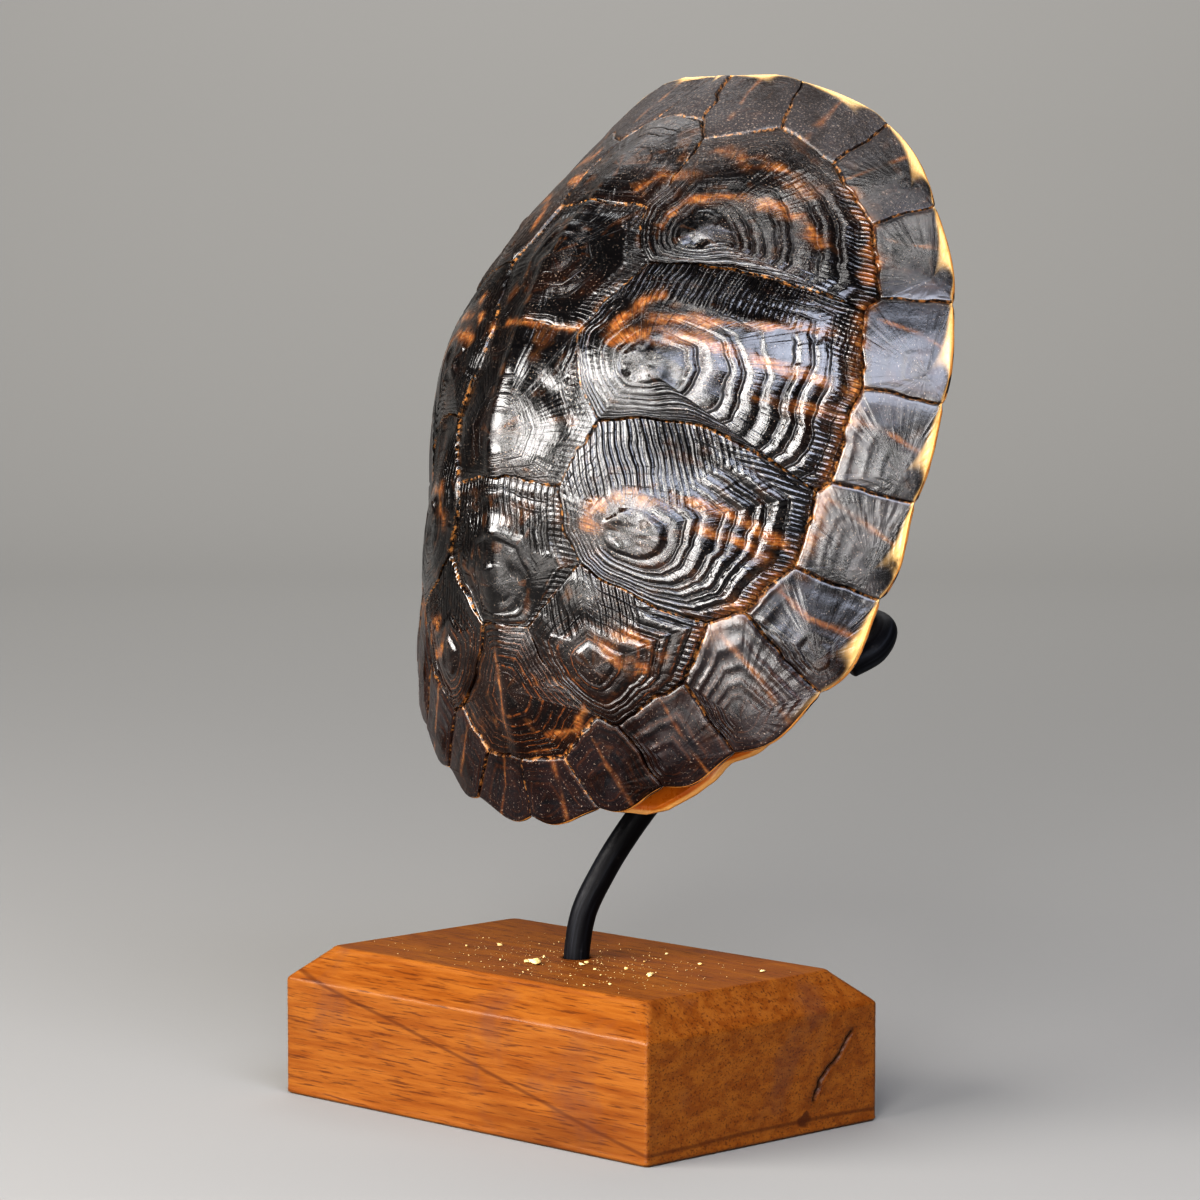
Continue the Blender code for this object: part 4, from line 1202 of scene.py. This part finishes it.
# rounded rectangles stacked up the sides and in over the chamfer, then blended
# over the top into the circle of the rod's hole and down inside it
def makeBlock(material):
    form = blockForm
    halfX, halfY = form["length"] / 2, form["width"] / 2
    top, cutLinesAndShade = form["height"], form["height"] - form["drop"]
    levels = []                                            # inset from the widest outline, height
    for share in (0.05, 0.35, 0.65, 0.9, 0.985):
        levels.append((halfY * (1 - share), 0.0))
    levels += [(0.7, 0.0), (0.35, 0.12), (0.1, 0.4), (0.0, 0.8)]
    levels += [(0.0, z) for z in np.linspace(0.8, cutLinesAndShade - 0.7, form["sideRows"])[1:]]
    levels += [(0.03, cutLinesAndShade - 0.3), (0.18, cutLinesAndShade + 0.05), (0.5, cutLinesAndShade + 0.42)]
    slope = form["drop"] / form["inset"]
    levels += [(inset, cutLinesAndShade + inset * slope) for inset in np.linspace(0.9, form["inset"] - 0.8, 12)]
    inset = form["inset"]
    levels += [(inset - 0.35, top - 0.28), (inset + 0.05, top - 0.06), (inset + 0.5, top)]
    rows = []
    for inset, height in levels:
        corner = min(form["corner"] + inset * 0.1, min(halfX, halfY) - inset - 0.01)
        plan = roundedRectangle(halfX - inset, halfY - inset, max(corner, 0.01), form["columns"])
        rows.append(np.column_stack([plan, np.full(len(plan), height)]))
    rim = rows[-1][:, :2]
    angle = np.arctan2(rim[:, 1], rim[:, 0])
    hole = form["holeRadius"] * np.column_stack([np.cos(angle), np.sin(angle)])
    for share in np.linspace(0, 1, 24)[1:]:
        plan = hole + (rim - hole) * (1 - share) ** 1.15
        lower = 0.0 if share < 1 else -0.12
        rows.append(np.column_stack([plan, np.full(len(plan), top + lower)]))
    for depth in (0.5, 4.0, 12.0, form["holeDepth"]):
        rows.append(np.column_stack([hole * 0.99, np.full(len(hole), top - depth)]))
    rows.append(np.column_stack([hole * 0.2, np.full(len(hole), top - form["holeDepth"])]))
    rows = np.array(rows)
    x, y, z = rows[..., 0], rows[..., 1], rows[..., 2]
    spot = rows.copy()
    # wood grain stands a little in relief, and the sides are not quite flat
    wear = np.stack([x * 0.12, y * 0.12, z * 1.2], -1)
    relief = 0.05 * smoothNoise(wear, 0.6) + 0.09 * smoothNoise(spot, 14.0)
    outward = np.stack([x / halfX, y / halfY, np.zeros_like(x)], -1)
    side = (z > 1.0) & (z < top - 0.5) & (np.hypot(x, y) > 12)
    move = np.where(side, relief - 0.14, 0.0)
    big = np.abs(outward).max(axis=-1, keepdims=True) + 1e-9
    face = np.where(np.abs(outward) >= big * 0.999, np.sign(outward), 0.0)
    rows = rows + face * move[..., None]
    flat = (np.abs(z - top) < 0.01) & (np.hypot(x, y) > 6)
    rows[..., 2] -= np.where(flat, 0.05 + 0.05 * smoothNoise(spot + 3, 5.0), 0.0)
    # crack in the end face towards +X
    gap = distanceTo(y + 0.5 * smoothNoise(spot, 2.0), z, form["crack"])
    depth = form["crackDepth"] * np.exp(-((gap / form["crackHalf"]) ** 2))
    onEnd = x > halfX - 0.6
    rows[..., 0] -= np.where(onEnd, depth, 0.0)
    crackShare = np.where(onEnd, np.exp(-((gap / 0.55) ** 2)), 0.0)
    blot = np.hypot(y - form["stain"][0], (z - form["stain"][1]) * 1.3) / form["stainHalf"]
    blot = np.where(onEnd, np.exp(-(blot**2)) * (1 + 0.7 * smoothNoise(spot + 60, 1.8)), 0.0)
    marks = {"zone": np.stack([crackShare, np.where(onEnd, gap, 40.0), blot], -1)}
    mesh = gridMesh("wood_block", rows, marks, material)
    return makePiece("wood_block", [mesh], ["base_block"])


woodLook = {
    "light": (0.165, 0.06, 0.009),
    "mid": (0.12, 0.037, 0.005),
    "dark": (0.045, 0.012, 0.003),
    "purple": (0.06, 0.026, 0.022),
    "crack": (0.008, 0.004, 0.003),
}
yearLine = {"slope": 0.226, "height": 0.0182}     # towards +X, and metres over the floor at x = 0


# stained wood: long grain along X bent by noise, dark pores, a dark year line, the crack on the end
# face painted near-black as painted shade and darker beside it, the stain there, and a duller top
def woodMaterial():
    look = withAlpha(woodLook)
    material, tree, shader = newMaterial("orange stained wood")
    spot = addNode(tree, "ShaderNodeTexCoord").outputs["Object"]
    _, crack, gap, stain = attributeParts(tree, "zone")
    place = addNode(tree, "ShaderNodeSeparateXYZ", {0: spot})
    bent = noiseValue(tree, stretched(tree, spot, (8.0, 14.0, 20.0), (0, 0.12, 0)), 1.0, 3.0, 0.5, 0.6)
    grain = noiseValue(tree, stretched(tree, spot, (30.0, 240.0, 420.0), (0, 0.1, 0)), 1.0, 5.0, 0.65, 0.4)
    pores = noiseValue(tree, stretched(tree, spot, (120.0, 1600.0, 2200.0), (0, 0.1, 0)), 1.0, 3.0, 0.6)
    mottle = noiseValue(tree, spot, 34.0, 4.0, 0.6, 0.4)
    colour = blend(tree, fade(tree, grain, 0.35, 0.65), look["mid"], look["light"])
    colour = blend(tree, fade(tree, bent, 0.52, 0.66, 0.0, 0.4), colour, look["dark"])
    colour = blend(tree, fade(tree, pores, 0.52, 0.68, 0.0, 0.75), colour, look["dark"])
    # one dark year line slopes down through the block towards +X
    slope = plus(tree, place.outputs[2], times(tree, place.outputs[0], yearLine["slope"]))
    slope = plus(tree, slope, times(tree, bent, 0.004))
    offLine = calculate(tree, "ABSOLUTE", calculate(tree, "SUBTRACT", slope, yearLine["height"]))
    colour = blend(tree, fade(tree, offLine, 0.0007, 0.0001, 0.0, 0.6), colour, look["dark"])
    colour = blend(tree, fade(tree, mottle, 0.56, 0.7, 0.0, 0.35), colour, look["purple"])
    # darker beside the crack
    colour = blend(tree, fade(tree, gap, 3.5, 0.6, 0.0, 0.4), colour, look["dark"])
    colour = blend(tree, fade(tree, stain, 0.25, 0.6, 0.0, 0.85), colour, look["dark"])
    # painted shade: the crack itself is coloured near-black
    colour = blend(tree, crack, colour, look["crack"])
    onTop = fade(tree, place.outputs[2], 0.0335, 0.0349)
    rough = plus(tree, fade(tree, grain, 0.3, 0.7, 0.3, 0.42), times(tree, onTop, 0.3))
    tree.links.new(fade(tree, onTop, 0.0, 1.0, 0.22, 0.08), shader.inputs["Specular IOR Level"])
    normal = bump(tree, grain, 0.00012, 0.6)
    normal = bump(tree, pores, 0.00008, 0.6, normal)
    joinShader(tree, shader, colour, rough, normal)
    return material


# crumbs and dust on the block

crumbPlaces = [
    (-1.0, -12.6, 1.1), (0.5, -13.6, 0.8), (-4.9, -6.0, 0.5), (7.7, -4.5, 0.45), (32.0, -21.0, 0.4),
    (29.1, -5.3, 0.7), (30.5, -6.8, 0.55), (27.6, 12.5, 0.5), (-25.0, -1.0, 0.6), (28.8, -26.0, 0.35),
    (12.0, 17.4, 0.4), (-29.0, -8.0, 0.4), (15.0, -9.0, 0.35), (20.0, -4.0, 0.4), (44.0, 16.0, 0.5),
    (9.0, -7.5, 0.5), (-9.0, -16.0, 0.35), (16.0, 6.0, 0.3), (-3.0, -13.4, 0.6), (22.0, -14.0, 0.3),
]


# lumps of noise-shaped balls, each a grid of 5 by 7 points, all in one mesh
def makeCrumbs(name, places, material, seedNumber):
    random = np.random.default_rng(seedNumber)
    top = blockForm["height"]
    meshes = []
    rows = np.linspace(0.16, 0.84, 5)[:, None] * math.pi
    turn = np.linspace(0, 2 * math.pi, 8)[:-1][None]
    ball = np.stack([np.sin(rows) * np.cos(turn), np.sin(rows) * np.sin(turn), np.cos(rows) + 0 * turn], -1)
    for x, y, size in places:
        stretch = size * (0.7 + 0.6 * random.random(3)) * np.array([1.2, 0.9, 0.6])
        lump = ball * (1 + 0.25 * random.normal(size=ball.shape[:2]))[..., None] * stretch
        spin = random.random() * 6.28                          # any way round
        c, s = math.cos(spin), math.sin(spin)
        across, along = lump[..., 0], lump[..., 1]
        lump = np.stack([across * c - along * s, across * s + along * c, lump[..., 2]], -1)
        lump[..., 2] -= lump[..., 2].min() + 0.15 * size
        lump = lump + np.array([x, y, top])
        meshes.append(gridMesh(name, lump[::-1], {}, material))
    return makePiece(name, meshes)


# light and dark colour of the big crumbs and of the dust
crumbLook = {
    "pale crumbs": ((0.5, 0.42, 0.22), (0.4, 0.26, 0.09)),
    "dust": ((0.42, 0.32, 0.16), (0.3, 0.2, 0.09)),
}
dustCount = 420


def crumbMaterial(name):
    colour, darker = crumbLook[name]
    material, tree, shader = newMaterial(name)
    spot = addNode(tree, "ShaderNodeTexCoord").outputs["Object"]
    cloud = noiseValue(tree, spot, 700.0, 4.0, 0.6)
    mixed = blend(tree, fade(tree, cloud, 0.35, 0.65), (*colour, 1.0), (*darker, 1.0))
    tree.links.new(mixed, shader.inputs["Base Color"])
    shader.inputs["Roughness"].default_value = 0.8
    tree.links.new(bump(tree, cloud, 0.0001, 0.6), shader.inputs["Normal"])
    return material


def dustPlaces(count):
    random = np.random.default_rng(23)
    form = blockForm
    x = random.normal(8, 22, count)
    y = random.normal(-6, 14, count)
    halfX = form["length"] / 2 - form["inset"] - 2
    halfY = form["width"] / 2 - form["inset"] - 2
    keep = (np.abs(x) < halfX) & (np.abs(y) < halfY) & (np.hypot(x, y) > 4.5)
    size = 0.08 + 0.12 * random.random(count) ** 3
    return [(a, b, c) for a, b, c in zip(x[keep], y[keep], size[keep])]


# floor, lights and camera

studio = {
    "cameraPlace": (792.34, -774.49, 221.52),
    "cameraRight": (0.70242, 0.71176, 0.0),
    "cameraUp": (-0.06610, 0.06523, 0.99568),
    "focalLength": 144.94,
    "floorSize": 9.0,
    "bend": 1.2,
    "behind": 1.4,
    "floorColour": (0.2, 0.197, 0.19),
    "worldColour": (0.62, 0.64, 0.68),
    "worldStrength": 0.14,
}


def makeCamera():
    data = bpy.data.cameras.new("camera")
    data.sensor_fit = "HORIZONTAL"
    data.sensor_width = 36.0
    data.lens = studio["focalLength"]
    data.clip_start = 0.05
    camera = bpy.data.objects.new("camera", data)
    bpy.context.scene.collection.objects.link(camera)
    right = Vector(studio["cameraRight"]).normalized()
    up = Vector(studio["cameraUp"]).normalized()
    back = right.cross(up).normalized()
    up = back.cross(right)
    matrix = camera.matrix_world.copy()
    for row in range(3):
        matrix[row][0] = right[row]
        matrix[row][1] = up[row]
        matrix[row][2] = back[row]
        matrix[row][3] = studio["cameraPlace"][row] * mm
    camera.matrix_world = matrix
    bpy.context.scene.camera = camera


# an area light that looks at the middle of the shell
def makeLight(name, direction, distance, size, power, colour, height, target=(0.01, 0.0, 0.13)):
    data = bpy.data.lights.new(name, "AREA")
    data.shape = "RECTANGLE"
    data.size = size
    data.size_y = height
    data.energy = power
    data.color = colour
    light = bpy.data.objects.new(name, data)
    aim = Vector(direction).normalized()
    light.location = Vector(target) + aim * distance
    light.rotation_euler = (-aim).to_track_quat("-Z", "Y").to_euler()
    bpy.context.scene.collection.objects.link(light)


# a pale floor that curves up behind the object, square to the view
def makeFloor(material):
    size, bend, far = studio["floorSize"] / 2, studio["bend"], studio["behind"]
    turn = np.linspace(0, math.pi / 2, 24)
    along = np.concatenate([[-size, 0.0], far + bend * np.sin(turn), [far + bend]])
    rise = np.concatenate([[0.0, 0.0], bend - bend * np.cos(turn), [size]])
    ahead = np.array([studio["cameraRight"][1], -studio["cameraRight"][0]]) * -1
    side = np.array(studio["cameraRight"][:2])
    points = []
    for width in (-size, size):
        plan = ahead[None] * along[:, None] + side[None] * width
        points.append(np.column_stack([plan, rise - 0.0001]))
    count = len(along)
    faces = [(i, i + 1, count + i + 1, count + i) for i in range(count - 1)]
    mesh = bpy.data.meshes.new("pale_floor")
    mesh.from_pydata(np.concatenate(points).tolist(), [], faces)
    mesh.polygons.foreach_set("use_smooth", [True] * len(faces))
    mesh.materials.append(material)
    floor = bpy.data.objects.new("pale_floor", mesh)
    bpy.context.scene.collection.objects.link(floor)
    if mesh.polygons[0].normal.z < 0:
        mesh.flip_normals()


# the way to a light, from degrees round from -Y towards +X and degrees up
def lightFrom(around, up):
    a, b = math.radians(around), math.radians(up)
    return (math.sin(a) * math.cos(b), -math.cos(a) * math.cos(b), math.sin(b))


# name, degrees round and up, distance, width, power, colour and height
studioLights = [
    ("key_softbox", -18, 21, 1.3, 1.4, 44.0, (1.0, 0.97, 0.94), 0.48),
    ("near_strip", 36, 27, 1.4, 0.32, 19.0, (1.0, 0.98, 0.96), 0.92),
    ("camera_strip", 48, 6, 1.6, 0.26, 8.0, (1.0, 0.98, 0.96), 0.42),
    ("low_strip", 16, -6, 0.75, 0.6, 1.7, (1.0, 0.96, 0.92), 0.14),
    ("side_softbox", 69, 38, 1.3, 0.65, 13.5, (0.8, 0.85, 1.0), 0.65),
    ("top_strip", 72, 76, 1.2, 0.45, 2.4, (1.0, 0.98, 0.96), 0.15),
    ("back_softbox", -140, 48, 1.5, 1.2, 5.0, (0.95, 0.97, 1.0), 1.2),
]


def makeStudio():
    material, _, shader = newMaterial("pale floor")
    shader.inputs["Base Color"].default_value = (*studio["floorColour"], 1.0)
    shader.inputs["Roughness"].default_value = 0.8
    shader.inputs["Specular IOR Level"].default_value = 0.0
    makeFloor(material)
    world = bpy.data.worlds.new("studio")
    world.use_nodes = True
    background = world.node_tree.nodes["Background"]
    background.inputs["Color"].default_value = (*studio["worldColour"], 1.0)
    background.inputs["Strength"].default_value = studio["worldStrength"]
    bpy.context.scene.world = world
    bpy.context.scene.view_settings.view_transform = "Standard"
    bpy.context.scene.view_settings.look = "High Contrast"
    for name, around, up, distance, size, power, colour, height in studioLights:
        makeLight(name, lightFrom(around, up), distance, size, power, colour, height)
    makeLight("wall_light", lightFrom(45, 45), 1.5, 1.6, 36.0, (1.0, 0.99, 0.97), 0.4, (-1.7, 1.7, 0.7))


makeCamera()
makeStudio()
say("camera and studio")
horn = hornMaterial("dark horn", 0.0)
rimHorn = hornMaterial("rim horn", 0.12)
makeLargePlates(horn)
say("large plates")
makeRimPlates(rimHorn)
say("rim plates")
makeBody(bodyMaterial())
say("shell body")
makeLowerShell(lowerMaterial())
say("lower shell")
makeRod(rodMaterial())
makeBlock(woodMaterial())
say("rod and block")
makeCrumbs("crumbs", crumbPlaces, crumbMaterial("pale crumbs"), 5)
makeCrumbs("dust", dustPlaces(dustCount), crumbMaterial("dust"), 6)
say("crumbs and dust")
